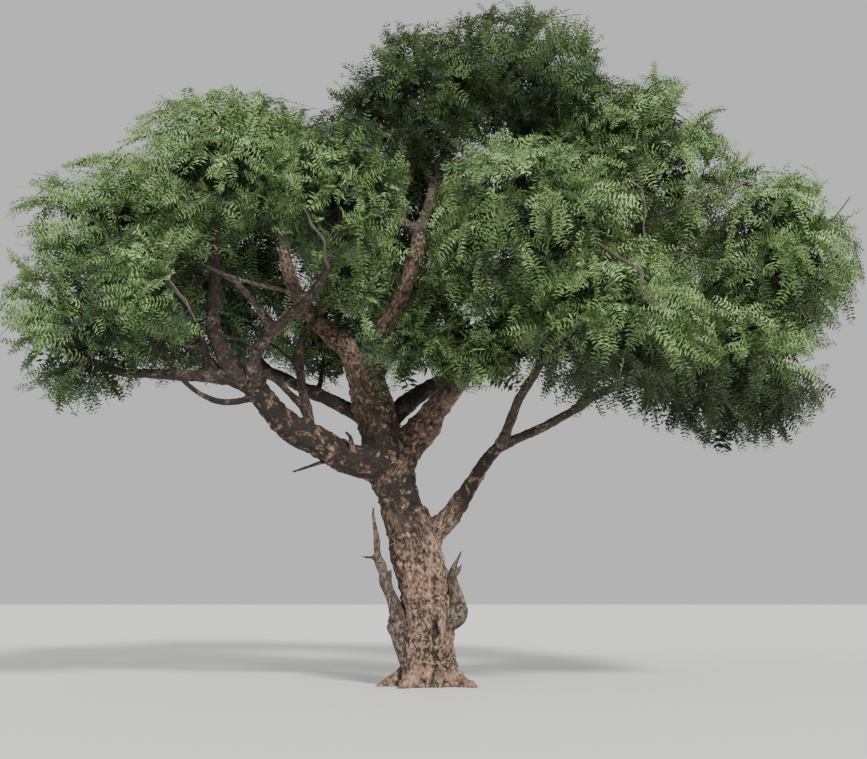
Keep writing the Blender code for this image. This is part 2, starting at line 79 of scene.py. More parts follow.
trunkForm = {
    "radii": (0.33, 0.315, 0.345, 0.26, 0.27, 0.24),  # evenly spaced from the ground to the fork
    "flareTop": 0.55,
    "flareSpread": 0.18,
    "roots": {185: 0.3, 232: 0.2, 338: 0.32, 290: 0.12, 48: 0.28, 120: 0.26},  # heading: reach past it
    "rootHalfAngle": 15.0,
    "finShare": 0.08,  # how much of a root's reach the trunk's own skin takes, beside the root's ridge
    "flutes": ((3, 0.05, 0.9), (5, 0.03, -1.6)),  # ridges round the trunk, depth, twist in radians a metre
    # seams where stems have grown together: heading, depth, half its width in degrees, height
    "seams": ((284, 0.11, 7.0, 1.5), (258, 0.04, 7.0, 0.9), (318, 0.03, 9.0, 1.7), (96, 0.09, 9.0, 1.6)),
    "sides": 96,
    "rings": 110,
}

limbTable = (
    Limb("trunk", None, 0.0, (-0.78, 0.10, 3.94), trunkForm["radii"], (0.17, -0.06, 0.05), (0.07, 0, 0)),
    Limb("west_limb", "trunk", 0.73, (-2.28, -0.80, 3.99), (0.2, 0.2, 0.14), (-0.08, 0, -0.27)),
    Limb("leader", "trunk", 0.95, (-1.98, 0.60, 6.04), (0.2, 0.14, 0.1, 0.08),
         (-0.13, -0.07, -0.03), (0.09, 0, 0.05)),
    Limb("centre_limb", "trunk", 0.91, (-0.10, 0.20, 6.16), (0.15, 0.085), (-0.07, -0.26, 0.02),
         (-0.1, 0, 0)),
    Limb("east_mid_limb", "trunk", 0.70, (1.07, -0.90, 4.99), (0.27, 0.22, 0.12, 0.09, 0.07),
         (0.07, 0.35, 0.05), (-0.06, 0, 0)),
    Limb("east_low_limb", "trunk", 0.47, (1.03, -0.30, 3.22), (0.17, 0.14, 0.09, 0.075),
         (0.09, -0.02, -0.05), (0.02, 0.02, -0.04)),
    Limb("back_west_limb", "trunk", 0.84, (-2.72, 1.70, 4.81), (0.11, 0.05), (-0.08, -0.06, -0.05),
         (0, -0.04, 0.07)),
    Limb("back_centre_limb", "trunk", 0.88, (-0.48, 2.30, 5.81), (0.13, 0.055), (-0.1, 0.07, -0.06)),
    Limb("back_east_limb", "trunk", 0.86, (1.92, 2.00, 4.96), (0.14, 0.055), (0, 0.1, 0.2)),
    Limb("west_riser", "west_limb", 0.93, (-2.67, -1.50, 5.73), (0.12, 0.07), (-0.31, 0.08, -0.09),
         (-0.07, 0.02, -0.03)),
    Limb("west_low_limb", "west_limb", 0.95, (-4.57, -0.90, 4.30), (0.1, 0.04), (0, 0, -0.07),
         (0, 0.02, 0.08)),
    Limb("west_cross", "west_limb", 0.95, (-1.20, -1.80, 5.34), (0.09, 0.05), (-0.16, -0.03, 0),
         (-0.12, -0.03, 0.03)),
    Limb("inner_riser", "west_limb", 0.52, (-1.16, 0.30, 5.27), (0.075, 0.04), (-0.36, 0.06, 0.05),
         (0.06, 0, -0.02)),
    Limb("west_fan", "west_riser", 0.62, (-3.39, -0.90, 5.77), (0.055, 0.035), (0.04, -0.01, 0.04)),
    Limb("west_inner", "west_low_limb", 0.27, (-3.17, -1.40, 5.0), (0.05, 0.035), (0.12, -0.03, 0)),
    Limb("west_gnarl", "west_low_limb", 0.2, (-3.52, -0.95, 4.66), (0.045, 0.025), (0, 0.02, 0.08),
         (0.03, 0, 0.06)),
    Limb("west_low_loop", "west_limb", 0.9, (-3.53, -1.30, 4.47), (0.05, 0.025), (0, 0, -0.42)),
    Limb("west_brace", "west_cross", 0.45, (-2.73, -1.75, 5.28), (0.05, 0.03), (0, -0.05, 0.15)),
    Limb("west_twin", "west_cross", 0.75, (-2.50, -1.95, 5.16), (0.035, 0.022), (0, -0.05, -0.03)),
    Limb("west_hoop", "inner_riser", 0.2, (-2.30, -0.95, 4.10), (0.045, 0.035), (0, -0.1, 0.08)),
    Limb("inner_brace", "inner_riser", 0.45, (-2.21, 0.25, 4.62), (0.035, 0.02), (0, 0.03, 0.02)),
    Limb("back_mid_limb", "back_west_limb", 0.4, (-1.49, 1.20, 4.19), (0.05, 0.035), (0.02, 0, -0.03)),
    Limb("centre_front_limb", "centre_limb", 0.16, (-0.45, -0.60, 4.24), (0.05, 0.035), (0, 0, -0.04)),
    Limb("centre_left", "centre_limb", 0.95, (-0.18, 0.60, 7.37), (0.07, 0.045),
         (-0.2, -0.03, -0.09), (-0.09, -0.03, -0.03)),
    Limb("centre_right", "centre_limb", 0.96, (0.46, 0.90, 7.77), (0.075, 0.04), (-0.06, 0.05, 0),
         (0.03, -0.02, 0)),
    Limb("centre_east", "centre_right", 0.42, (1.38, 1.20, 7.29), (0.05, 0.04), (-0.05, 0.03, 0.08)),
    Limb("east_up", "east_low_limb", 0.93, (1.64, -1.30, 4.42), (0.075, 0.045), (-0.03, 0.06, 0.06)),
    Limb("east_out", "east_low_limb", 0.94, (3.01, -0.30, 4.04), (0.07, 0.04), (-0.03, 0, 0.04),
         (0.02, 0, -0.05)),
    Limb("east_far_limb", "east_out", 0.52, (3.70, -0.20, 5.22), (0.045, 0.035), (-0.11, 0.03, 0.13)),
    Limb("east_high_limb", "east_mid_limb", 0.74, (2.54, 0.50, 6.23), (0.065, 0.04), (-0.1, 0.01, 0.09)),
    Limb("centre_low_limb", "east_mid_limb", 0.44, (0.5, -0.75, 4.12), (0.05, 0.035)),
    Limb("west_stub", "west_limb", 0.26, (-1.74, -0.50, 2.79), (0.04, 0.018), (0, 0, 0.02)),
    Limb("dead_stem_west", "trunk", 0.07, (-0.71, -0.15, 2.33), (0.13, 0.11, 0.075, 0.045, 0.016),
         (-0.17, -0.06, 0)),
    Limb("dead_stem_east", "trunk", 0.15, (0.45, -0.10, 1.76), (0.1, 0.11, 0.06, 0.045, 0.016),
         (0.16, -0.05, 0), (0.12, 0, 0)),
)
limbs = {limb.name: limb for limb in limbTable}

limbForm = {
    "step": 0.4,  # longest straight piece before the line is rounded
    "collar": 0.3,  # how much wider a limb is where it leaves its parent
    "collarLength": 0.12,
    "collarFit": 0.95,
    "crook": 0.25,  # small crooks along a limb, as a share of its radius
    "ringGap": 0.03,
    "sides": 20,
    "samples": 30,  # places along a limb that foliage is kept clear of
}

# A mass of foliage fills an ellipsoid, less what lies past the planes it shares with its neighbours.
# Habit is how its shoots hang: spread lies flat and arches, hang droops, rise stands up.
Mass = namedtuple("Mass", "name limb centre radii habit tone")

massTable = (
    Mass("west_tip_foliage", "west_low_limb", (-4.5, -0.9, 4.65), (1.15, 1.3, 1.15), "spread", "fresh"),
    Mass("west_shoulder_foliage", "west_fan", (-4.0, -0.7, 6.05), (1.45, 1.4, 0.95), "spread", "bright"),
    Mass("west_crown_foliage", "west_riser", (-2.52, -1.8, 6.56), (1.4, 1.5, 1.05), "spread", "bright"),
    Mass("west_inner_foliage", "west_inner", (-3.2, -1.9, 5.05), (1.15, 1.1, 0.8), "spread", "fresh"),
    Mass("centre_west_foliage", "west_cross", (-1.1, -2.0, 6.15), (1.05, 1.25, 1.05), "spread", "fresh"),
    Mass("leader_foliage", "leader", (-2.0, 1.0, 7.1), (1.6, 1.6, 1.05), "spread", "olive"),
    Mass("inner_foliage", "inner_riser", (-0.95, 0.1, 5.55), (0.75, 0.8, 0.8), "spread", "fresh"),
    Mass("top_west_foliage", "centre_left", (-0.24, 0.6, 7.95), (1.3, 1.6, 1.15), "spread", "olive"),
    Mass("top_foliage", "centre_right", (1.24, 1.0, 8.4), (1.45, 1.7, 1.1), "rise", "olive"),
    Mass("top_east_foliage", "centre_east", (2.17, 1.3, 7.5), (1.25, 1.5, 1.15), "spread", "olive"),
    Mass("east_front_foliage", "east_mid_limb", (1.29, -1.7, 5.75), (1.5, 1.5, 1.3), "hang", "fresh"),
    Mass("east_high_foliage", "east_high_limb", (3.1, 0.4, 6.95), (1.2, 1.5, 1.4), "hang", "fresh"),
    Mass("east_far_foliage", "east_far_limb", (4.7, -0.2, 5.6), (1.2, 1.6, 1.3), "hang", "green"),
    Mass("east_hem_foliage", "east_out", (4.05, -0.3, 4.15), (1.45, 1.6, 1.1), "hang", "hem"),
    Mass("east_low_foliage", "east_up", (2.3, -1.8, 4.55), (1.4, 1.3, 1.2), "hang", "fresh"),
    Mass("centre_low_foliage", "centre_low_limb", (0.6, -1.2, 4.28), (0.75, 0.65, 0.55), "spread", "fresh"),
    Mass(
        "centre_front_foliage", "centre_front_limb", (-0.35, -1.05, 4.5), (0.6, 0.5, 0.5), "spread", "fresh"
    ),
    Mass("back_mid_foliage", "back_mid_limb", (-1.45, 1.6, 4.72), (0.95, 0.75, 0.6), "spread", "green"),
    Mass("back_west_foliage", "back_west_limb", (-3.4, 2.4, 5.4), (1.65, 1.6, 1.3), "spread", "teal"),
    Mass("back_centre_foliage", "back_centre_limb", (-0.5, 3.1, 6.8), (1.85, 1.5, 1.45), "spread", "teal"),
    Mass("back_east_foliage", "back_east_limb", (2.9, 2.6, 5.7), (1.9, 1.7, 1.55), "hang", "teal"),
)

twigForm = {
    "clear": 0.0003,  # between a limb's tip and the stem of its mass
    "massGap": 0.04,  # left clear along the plane between two masses
    "limbClearance": 0.02,
    "stemSteps": 4,
    "stemEnd": 0.03,  # radius where the stem gives out, at the heart of the mass
    "perArea": 0.36,  # twig tips for each square metre of the ellipsoid
    "fewest": 6,
    "shares": (0.56, 0.42, 0.5),  # how far out the tips lie, taken in turn
    "detourCost": 0.3,  # how much the way back to the foot counts when a tip picks its branch
    "branchingShares": (0.4, 0.75),
    "taper": 0.45,
}
goldenAngle = math.radians(137.508)


def along(values, share):
    place = min(max(share, 0.0), 1.0) * (len(values) - 1)
    first = min(int(place), len(values) - 2)
    return values[first] + (values[first + 1] - values[first]) * (place - first)


def smoothStep(low, high, value):
    part = np.clip((value - low) / (high - low), 0.0, 1.0)
    return part * part * (3 - 2 * part)


def pointOn(name, share):
    limb = limbs[name]
    start = pointOn(limb.parent, limb.share) if limb.parent else Vector((0, 0, 0))
    line = start.lerp(Vector(limb.tip), share)
    bow = Vector(limb.bow) * math.sin(math.pi * share)
    sway = Vector(limb.sway) * math.sin(2 * math.pi * share)
    return line + bow + sway


def limbLine(name):
    # the centre line of a limb, and its radius at each point
    limb = limbs[name]
    rough = [pointOn(name, n / 8) for n in range(9)]
    length = sum((b - a).length for a, b in zip(rough, rough[1:]))
    steps = max(4, math.ceil(length / limbForm["step"]))
    collar = 0.0
    if limb.parent:
        room = limbForm["collarFit"] * along(limbs[limb.parent].radii, limb.share) / limb.radii[0] - 1
        collar = max(0.0, min(limbForm["collar"], room))
    chance = random.Random(name)
    points = []
    radii = []
    for n in range(steps + 1):
        share = n / steps
        radius = along(limb.radii, share)
        crook = Vector([chance.uniform(-1, 1) for _ in range(3)]) * limbForm["crook"] * radius
        points.append(pointOn(name, share) + (crook if 0 < n < steps else Vector()))
        radii.append(radius * (1 + collar * math.exp(-share * length / limbForm["collarLength"])))
    return points, radii


def stemLine(mass):
    # the stem curves from the limb's tip to the heart of the mass
    line, limbRadii = limbLine(mass.limb)
    direction = (line[-1] - line[-2]).normalized()
    foot = line[-1] + direction * twigForm["clear"]
    firstRadius = limbRadii[-1] * 0.9
    heart = Vector(mass.centre)
    start = foot + direction * firstRadius
    bend = start + direction * (heart - start).length * 0.45
    shares = [n / twigForm["stemSteps"] for n in range(twigForm["stemSteps"] + 1)]
    points = [start.lerp(bend, s).lerp(bend.lerp(heart, s), s) for s in shares]
    change = twigForm["stemEnd"] - firstRadius
    return [foot] + points, [firstRadius] + [firstRadius + change * share for share in shares]


def rounded(points, radii, gap):
    # a smooth line through the points, with one about every gap
    places = [np.array(p) for p in points]
    places = [2 * places[0] - places[1]] + places + [2 * places[-1] - places[-2]]
    line = []
    girths = []
    for n in range(1, len(places) - 2):
        before, here, there, after = places[n - 1 : n + 3]
        steps = max(1, round(np.linalg.norm(there - here) / gap))
        for step in range(steps):
            s = step / steps
            line.append(
                0.5 * (2 * here + (there - before) * s + (2 * before - 5 * here + 4 * there - after) * s**2
                       + (3 * here - before - 3 * there + after) * s**3)
            )
            girths.append(radii[n - 1] + (radii[n] - radii[n - 1]) * (3 * s**2 - 2 * s**3))
    line.append(places[-2])
    girths.append(radii[-1])
    return np.array(line), np.array(girths)


def lineFrames(line):
    # for each point the direction of the line and one side direction that doesn't twist along it
    ahead = np.gradient(line, axis=0)
    ahead /= np.linalg.norm(ahead, axis=1)[:, None]
    sides = []
    side = np.cross(ahead[0], (0.0, 1.0, 0.0))
    for direction in ahead:
        side = side - direction * side.dot(direction)
        side /= np.linalg.norm(side)
        sides.append(side)
    return ahead, np.array(sides)


class WoodLine:
    # the smooth centre line of the trunk or a limb, with what is needed to find a place along it
    def __init__(self, name, points, radii):
        self.name = name
        self.line, self.radii = rounded(points, radii, limbForm["ringGap"])
        self.ahead, self.side = lineFrames(self.line)
        steps = np.linalg.norm(np.diff(self.line, axis=0), axis=1)
        self.travelled = np.concatenate([[0.0], np.cumsum(steps)])


def rootReach(angle):
    reach = 0.0
    for heading, length in trunkForm["roots"].items():
        off = (math.degrees(angle) - heading + 180) % 360 - 180
        reach = max(reach, length * math.exp(-((off / trunkForm["rootHalfAngle"]) ** 2)))
    return reach


def trunkRadius(share, height, angle):
    radius = along(trunkForm["radii"], share)
    for count, depth, twist in trunkForm["flutes"]:
        radius *= 1 + depth * math.cos(count * angle + twist * height)
    for heading, depth, halfAngle, top in trunkForm["seams"]:
        off = (math.degrees(angle) - heading - 12 * height + 180) % 360 - 180
        radius -= depth * math.exp(-((off / halfAngle) ** 2)) * max(0.0, 1 - height / top) ** 0.5
    flare = max(0.0, 1 - height / trunkForm["flareTop"])
    reach = rootReach(angle) * flare**4 * trunkForm["finShare"]
    return radius * (1 + trunkForm["flareSpread"] * flare) + reach


rootForm = {
    "least": 0.15,  # a root that reaches out less than this has no ridge
    "foot": 0.5,  # height where a root leaves the trunk
    "knee": (0.9, 0.19),  # its knee: share of the trunk's radius, and height
    "reach": 0.9,  # share of the flare's reach that the ridge stands out
    "sink": 0.03,  # how far its tip has sunk into the ground
    "radii": (0.13, 0.115, 0.1),
}


def rootLines():
    # the rounded ridges of the roots, from the trunk's side down to the ground
    form = rootForm
    lines = []
    for heading, reach in trunkForm["roots"].items():
        if reach < form["least"]:
            continue
        way = Vector((math.cos(math.radians(heading)), math.sin(math.radians(heading)), 0))
        thick = trunkForm["radii"][0]
        wide = 0.6 + reach
        points = [
            way * thick * 0.4 + Vector((0, 0, form["foot"])),
            way * thick * form["knee"][0] + Vector((0, 0, form["knee"][1])),
            way * (thick + reach * form["reach"]) - Vector((0, 0, form["sink"])),
        ]
        lines.append(WoodLine("root", points, [radius * wide for radius in form["radii"]]))
    return lines


def addRings(shape, rings):
    for low, high in zip(rings, rings[1:]):
        for side in range(len(low)):
            after = (side + 1) % len(low)
            shape.faces.new((low[side], low[after], high[after], high[side]))
    shape.faces.new(reversed(rings[0]))
    shape.faces.new(rings[-1])


def addTrunk(shape):
    top = limbs["trunk"].tip[2]
    rings = []
    for n in range(trunkForm["rings"] + 1):
        share = (n / trunkForm["rings"]) ** 1.3  # closer together in the flare
        centre = pointOn("trunk", share)
        ahead = pointOn("trunk", share + 0.01) - centre
        up = Vector((0, 0, 1))
        tilt = up.lerp(ahead.normalized(), min(1.0, share * 3)).normalized()
        turn = up.rotation_difference(tilt)
        ring = []
        for side in range(trunkForm["sides"]):
            angle = 2 * math.pi * side / trunkForm["sides"]
            radius = trunkRadius(share, share * top, angle)
            off = Vector((math.cos(angle), math.sin(angle), 0)) * radius
            ring.append(shape.verts.new(centre + turn @ off))
        rings.append(ring)
    addRings(shape, rings)


def addLimb(shape, wood):
    # a swept tube with a rounded tip
    sides = limbForm["sides"]
    angles = np.arange(sides) * 2 * math.pi / sides
    rings = []
    tipRadius = wood.radii[-1]
    stops = list(zip(wood.line, wood.ahead, wood.side, wood.radii))
    for turn in (30, 60, 80):
        turn = math.radians(turn)
        place = wood.line[-1] + wood.ahead[-1] * tipRadius * math.sin(turn)
        stops.append((place, wood.ahead[-1], wood.side[-1], tipRadius * math.cos(turn)))
    for place, ahead, side, radius in stops:
        other = np.cross(ahead, side)
        ring = place + radius * (np.cos(angles)[:, None] * side + np.sin(angles)[:, None] * other)
        rings.append([shape.verts.new(corner) for corner in ring])
    addRings(shape, rings)


def makeObject(name, mesh):
    made = bpy.data.objects.new(name, mesh)
    bpy.context.scene.collection.objects.link(made)
    return made


def evaluated(thing):
    # a plain mesh of the object as its modifiers leave it
    graph = bpy.context.evaluated_depsgraph_get()
    final = thing.evaluated_get(graph)
    return bpy.data.meshes.new_from_object(final, preserve_all_data_layers=True, depsgraph=graph)


def applied(thing):
    mesh = evaluated(thing)
    old = thing.data
    thing.modifiers.clear()
    thing.data = mesh
    bpy.data.meshes.remove(old)
    return thing


print("limb lines")
massOn = {mass.limb: mass for mass in massTable}
# sideways bends, how many a metre, and how lumpy the radius is
deadWood = {"crook": 0.045, "perMetre": 3.4, "lumps": 0.3}


def crooked(points, radii):
    # dead wood bends and swells more than live wood, but starts and ends where it did
    form = deadWood
    bends = []
    girths = []
    for n, (place, radius) in enumerate(zip(points, radii)):
        ends = math.sin(math.pi * n / (len(points) - 1)) ** 0.5
        shift = noise.noise_vector(place * form["perMetre"] + Vector((4, 0, 0))) * form["crook"] * ends
        bends.append(place + Vector((shift.x, shift.y, 0)))
        girths.append(radius * (1 + form["lumps"] * noise.noise(place * 6.0) * ends))
    return bends, girths


woodLines = {}
for limb in limbTable:
    points, radii = limbLine(limb.name)
    if limb.name.startswith("dead_"):
        fine = [along(points, n / 24) for n in range(25)]
        points, radii = crooked(fine, [along(radii, n / 24) for n in range(25)])
    if limb.name in massOn:  # the stem of its mass carries the limb on
        stem, stemRadii = stemLine(massOn[limb.name])
        points = points[:-1] + stem
        radii = radii[:-1] + stemRadii
    woodLines[limb.name] = WoodLine(limb.name, points, radii)

# burls and broken ends on the boughs and the dead stems: their points and radii
burls = {
    "burl_west_twig": ([(-0.62, -0.155, 1.6), (-0.7, -0.16, 1.68), (-0.78, -0.16, 1.68), (-0.87, -0.16, 1.7)],
                       [0.045, 0.028, 0.02, 0.012]),
    "burl_west_knob": ([(-0.56, -0.16, 1.36), (-0.5, -0.16, 1.44), (-0.47, -0.15, 1.52)],
                       [0.05, 0.045, 0.02]),
    "burl_west_spur": ([(-0.30, -0.1, 0.66), (-0.40, -0.12, 0.76), (-0.50, -0.12, 0.9)], [0.09, 0.07, 0.02]),
    "burl_west_foot": ([(-0.42, -0.16, 0.82), (-0.37, -0.17, 0.6), (-0.31, -0.18, 0.36), (-0.27, -0.16, 0.2)],
                       [0.1, 0.085, 0.065, 0.05]),
    "burl_east_spur": ([(0.36, -0.12, 1.1), (0.31, -0.13, 1.28), (0.27, -0.13, 1.4)], [0.06, 0.035, 0.015]),
    "burl_east_lump": ([(0.38, -0.1, 0.86), (0.42, -0.1, 1.0), (0.41, -0.1, 1.12)], [0.09, 0.12, 0.07]),
    "burl_east_tip": ([(0.33, -0.12, 1.44), (0.41, -0.13, 1.5), (0.46, -0.14, 1.6)], [0.045, 0.035, 0.014]),
    "burl_west_hook": ([(-2.72, -1.3, 4.55), (-2.55, -1.28, 4.47), (-2.37, -1.25, 4.43), (-2.05, -1.2, 4.40)],
                       [0.03, 0.026, 0.022, 0.018]),
    "burl_leader": ([(-1.32, -0.5, 4.57), (-1.08, -0.45, 4.56), (-0.8, -0.3, 4.66), (-0.68, -0.2, 4.8)],
                    [0.02, 0.02, 0.024, 0.026]),
    "burl_fork": ([(-0.9, -0.3, 2.85), (-0.97, -0.4, 3.1), (-1.0, -0.42, 3.24), (-1.06, -0.42, 3.31)],
                  [0.05, 0.045, 0.03, 0.02]),
}
for name, (points, radii) in burls.items():
    woodLines[name] = WoodLine(name, [Vector(point) for point in points], radii)

barkRelief = {
    "voxel": 0.017,
    "fineVoxel": 0.0145,
    "fillet": 0.13,  # how far apart two surfaces start to flow into each other
    "swellings": (2.6, 0.1),  # how many a metre, and their height as a share of the radius
    "knobs": (11.0, 0.12, 0.03),  # how many a metre, height as a share of the radius, and at most
    "furrows": ((13.0, 1.0), (22.0, 0.7)),  # how many a metre, and how deep each kind is
    "furrowDepth": (0.002, 0.05, 0.014),  # plain, more for each metre of radius, and at most
    "furrowWidth": 0.22,
    "broken": (5.0, 0.1),  # where the furrows give out: how many places a metre, and how much of it
    "stretch": 0.4,  # how much slower the furrows change along the wood than round it
    "grit": (30.0, 0.6),  # how many a metre, and its height as a share of the furrows' depth
    "hollow": 0.012,  # depth at which a recess is given its full painted shade
}

paintedWoodShade = {  # 0 is the pale foot of the tree, 1 the full painted shade of the fork and the boughs
    "heights": (1.55, 2.6),
    "upper": (3.1, 3.7),  # above the fork the painted shade on the trunk is lighter again
    "upperTone": 0.6,
    "shadedSide": 0.8,  # how much painted shade lies on the west side of the trunk
    "boughs": 0.97,
    "dead": 0.3,
    # the share of the painted shade that each limb keeps, less on the limbs that lie in the light
    "paintedShadeShare": {
        "centre_limb": 0.3, "leader": 0.35, "east_mid_limb": 0.55, "east_out": 0.75, "east_up": 0.7,
        "west_riser": 0.8, "west_cross": 0.75, "west_brace": 0.6, "west_twin": 0.65, "west_gnarl": 0.7,
        "inner_riser": 0.6, "west_low_limb": 0.85, "west_hoop": 0.65, "inner_brace": 0.7,
        "centre_left": 0.45, "centre_right": 0.7,
    },
}


def woodPlaces(verts, woods):
    # each point's place in the straightened limb it is nearest, the limb's radius, its number in the
    # list, and the fillet there
    centres = np.concatenate([wood.line for wood in woods])
    radii = np.concatenate([wood.radii for wood in woods])
    ahead = np.concatenate([wood.ahead for wood in woods])
    side = np.concatenate([wood.side for wood in woods])
    travelled = np.concatenate([wood.travelled + 7.3 * n for n, wood in enumerate(woods)])
    owner = np.concatenate([np.full(len(wood.line), n) for n, wood in enumerate(woods)])
    places = np.zeros((len(verts), 3))
    girth = np.zeros(len(verts))
    owners = np.zeros(len(verts), int)
    fillet = np.zeros(len(verts))
    for first in range(0, len(verts), 4000):
        part = verts[first : first + 4000]
        square = (part**2).sum(1)[:, None] + (centres**2).sum(1) - 2 * part @ centres.T
        off = np.sqrt(np.maximum(square, 0.0)) - radii
        nearest = off.argmin(1)
        closest = off[np.arange(len(part)), nearest]
        off[owner[None, :] == owner[nearest][:, None]] = np.inf
        second = off.min(1)
        reach = part - centres[nearest]
        forward = (reach * ahead[nearest]).sum(1)
        reach = reach - ahead[nearest] * forward[:, None]
        other = np.cross(ahead[nearest], side[nearest])
        places[first : first + 4000, 0] = (reach * side[nearest]).sum(1)
        places[first : first + 4000, 1] = (reach * other).sum(1)
        places[first : first + 4000, 2] = travelled[nearest] + forward
        girth[first : first + 4000] = radii[nearest]
        owners[first : first + 4000] = owner[nearest]
        fillet[first : first + 4000] = np.maximum(0.0, 1 - (second - closest) / barkRelief["fillet"])
    return places, girth, owners, fillet


def smoothed(verts, edges, weight, rounds):
    # moves each point towards the middle of its neighbours, as far as its weight says
    count = np.bincount(edges.ravel(), minlength=len(verts))[:, None]
    for _ in range(rounds):
        total = np.zeros_like(verts)
        for axis in range(3):
            total[:, axis] = np.bincount(edges[:, 0], verts[edges[:, 1], axis], len(verts))
            total[:, axis] += np.bincount(edges[:, 1], verts[edges[:, 0], axis], len(verts))
        verts = verts + (total / count - verts) * weight[:, None] * 0.6
    return verts


def barkHeight(place, radius):
    # the bark's relief at a place on a straightened limb, how deep in a furrow it lies, and how far
    # it stands up among the knobs
    form = barkRelief
    spot = Vector(place)
    bent = spot + noise.noise_vector(spot * 4.0) * 0.05
    drawn = Vector((bent.x, bent.y, bent.z * form["stretch"]))
    furrow = 0.0
    for n, (scale, share) in enumerate(form["furrows"]):
        edge = abs(noise.noise(drawn * scale + Vector((0, 0, 9.7 * n)))) / form["furrowWidth"]
        furrow = max(furrow, (1 - min(1.0, edge)) * share)
    brokenScale, brokenAt = form["broken"]
    furrow *= min(1.0, max(0.0, 0.5 + 3 * (noise.noise(spot * brokenScale + Vector((5, 5, 5))) - brokenAt)))
    plain, more, most = form["furrowDepth"]
    depth = min(most, plain + more * radius)
    knobScale, knobShare, knobMost = form["knobs"]
    knob = noise.noise(spot * knobScale) + 0.5 * noise.noise(spot * knobScale * 2.1)
    grit = noise.noise(spot * form["grit"][0])
    height = noise.noise(spot * form["swellings"][0]) * form["swellings"][1] * radius
    height += knob * min(knobMost, knobShare * radius) + grit * depth * form["grit"][1]
    return height - furrow * depth, furrow, min(1.0, max(0.0, 0.5 + 0.7 * knob + 0.4 * grit))


def paintedShadeOfWood(verts, owners, members):
    # how much painted shade the bark carries, from none at the pale foot to the full painted shade of the
    # fork and the boughs
    low, high = paintedWoodShade["heights"]
    tone = smoothStep(low, high, verts[:, 2] - 0.25 * np.sin(verts[:, 0] * 7.0))
    # painted shade on the west side of the trunk
    west = smoothStep(-0.05, -0.3, verts[:, 0] + 0.19 * verts[:, 2] - 0.1) * smoothStep(0.5, 1.2, verts[:, 2])
    tone = np.maximum(tone, west * paintedWoodShade["shadedSide"])
    tone = tone * paintedWoodShade["boughs"]
    upper = smoothStep(*paintedWoodShade["upper"], verts[:, 2]) * (owners == 0) * (members[0] == "trunk")
    tone = tone * (1 - upper * (1 - paintedWoodShade["upperTone"]))
    # each limb keeps its share of the painted shade; dead stems, and burls at the foot, take the dead amount
    for n, member in enumerate(members):
        atFoot = tone[owners == n].max(initial=0) < 0.5
        if member.startswith("dead_") or (member.startswith("burl_") and atFoot):
            tone[owners == n] = paintedWoodShade["dead"]
        tone[owners == n] *= paintedWoodShade["paintedShadeShare"].get(member, 1.0)
    return tone


def meshArrays(mesh):
    verts = np.empty(len(mesh.vertices) * 3, np.float32)
    mesh.vertices.foreach_get("co", verts)
    edges = np.empty(len(mesh.edges) * 2, np.int32)
    mesh.edges.foreach_get("vertices", edges)
    return verts.reshape(-1, 3).astype(float), edges.reshape(-1, 2)


def setAttribute(mesh, name, kind, values):
    layer = mesh.attributes.new(name, kind, "POINT")
    field = "vector" if kind == "FLOAT_VECTOR" else "value"
    layer.data.foreach_set(field, np.asarray(values, np.float32).ravel())


def barkPiece(name, members, voxel, look):
    # one closed skin over the limbs, rounded where they meet, with the bark's knobs and furrows in it
    shape = bmesh.new()
    for member in members:
        if member == "trunk":
            addTrunk(shape)
            for root in rootLines():
                addLimb(shape, root)
        else:
            addLimb(shape, woodLines[member])
    mesh = bpy.data.meshes.new(name)
    shape.to_mesh(mesh)
    shape.free()
    skin = makeObject(name, mesh)
    remesh = skin.modifiers.new("skin", "REMESH")
    remesh.mode = "VOXEL"
    remesh.voxel_size = voxel * 1
    applied(skin)
    mesh = skin.data
    verts, edges = meshArrays(mesh)
    verts = smoothed(verts, edges, np.ones(len(verts)), 2)  # takes the voxels' steps out
    woods = [woodLines[member] for member in members]
    places, girth, owners, fillet = woodPlaces(verts, woods)
    mesh.vertices.foreach_set("co", verts.astype(np.float32).ravel())
    mesh.update()
    normals = np.empty(len(verts) * 3, np.float32)
    mesh.vertices.foreach_get("normal", normals)
    normals = normals.reshape(-1, 3)
    verts = verts + normals * (fillet**2 * barkRelief["fillet"] / 4 * np.minimum(1.0, girth / 0.1))[:, None]
    verts = smoothed(verts, edges, smoothStep(0.1, 0.7, fillet), 10)
    relief = [barkHeight(place, radius) for place, radius in zip(places, girth)]
    heights, furrows, rises = np.array(relief).T
    verts = verts + normals * heights[:, None]
    verts[:, 2] = np.maximum(verts[:, 2], 0.0)
    flat = smoothed(verts, edges, np.ones(len(verts)), 14)  # a recess lies below the smoothed skin, and is given painted shade
    hollowShadeAmounts = np.clip(((flat - verts) * normals).sum(1) / barkRelief["hollow"], -1.0, 1.0)
    mesh.vertices.foreach_set("co", verts.astype(np.float32).ravel())
    setAttribute(mesh, "barkPlace", "FLOAT_VECTOR", places)
    setAttribute(mesh, "furrow", "FLOAT", furrows)
    setAttribute(mesh, "rise", "FLOAT", rises)
    # the painted shade of the recesses
    setAttribute(mesh, "hollow", "FLOAT", hollowShadeAmounts)
    # the tone attribute carries the painted shade of the fork and the boughs
    setAttribute(mesh, "tone", "FLOAT", paintedShadeOfWood(verts, owners, members))
    mesh.polygons.foreach_set("use_smooth", np.ones(len(mesh.polygons), bool))
    mesh.materials.clear()
    mesh.materials.append(look)
    mesh.update()
    print(name, len(mesh.polygons) * 2, "triangles")
    return skin


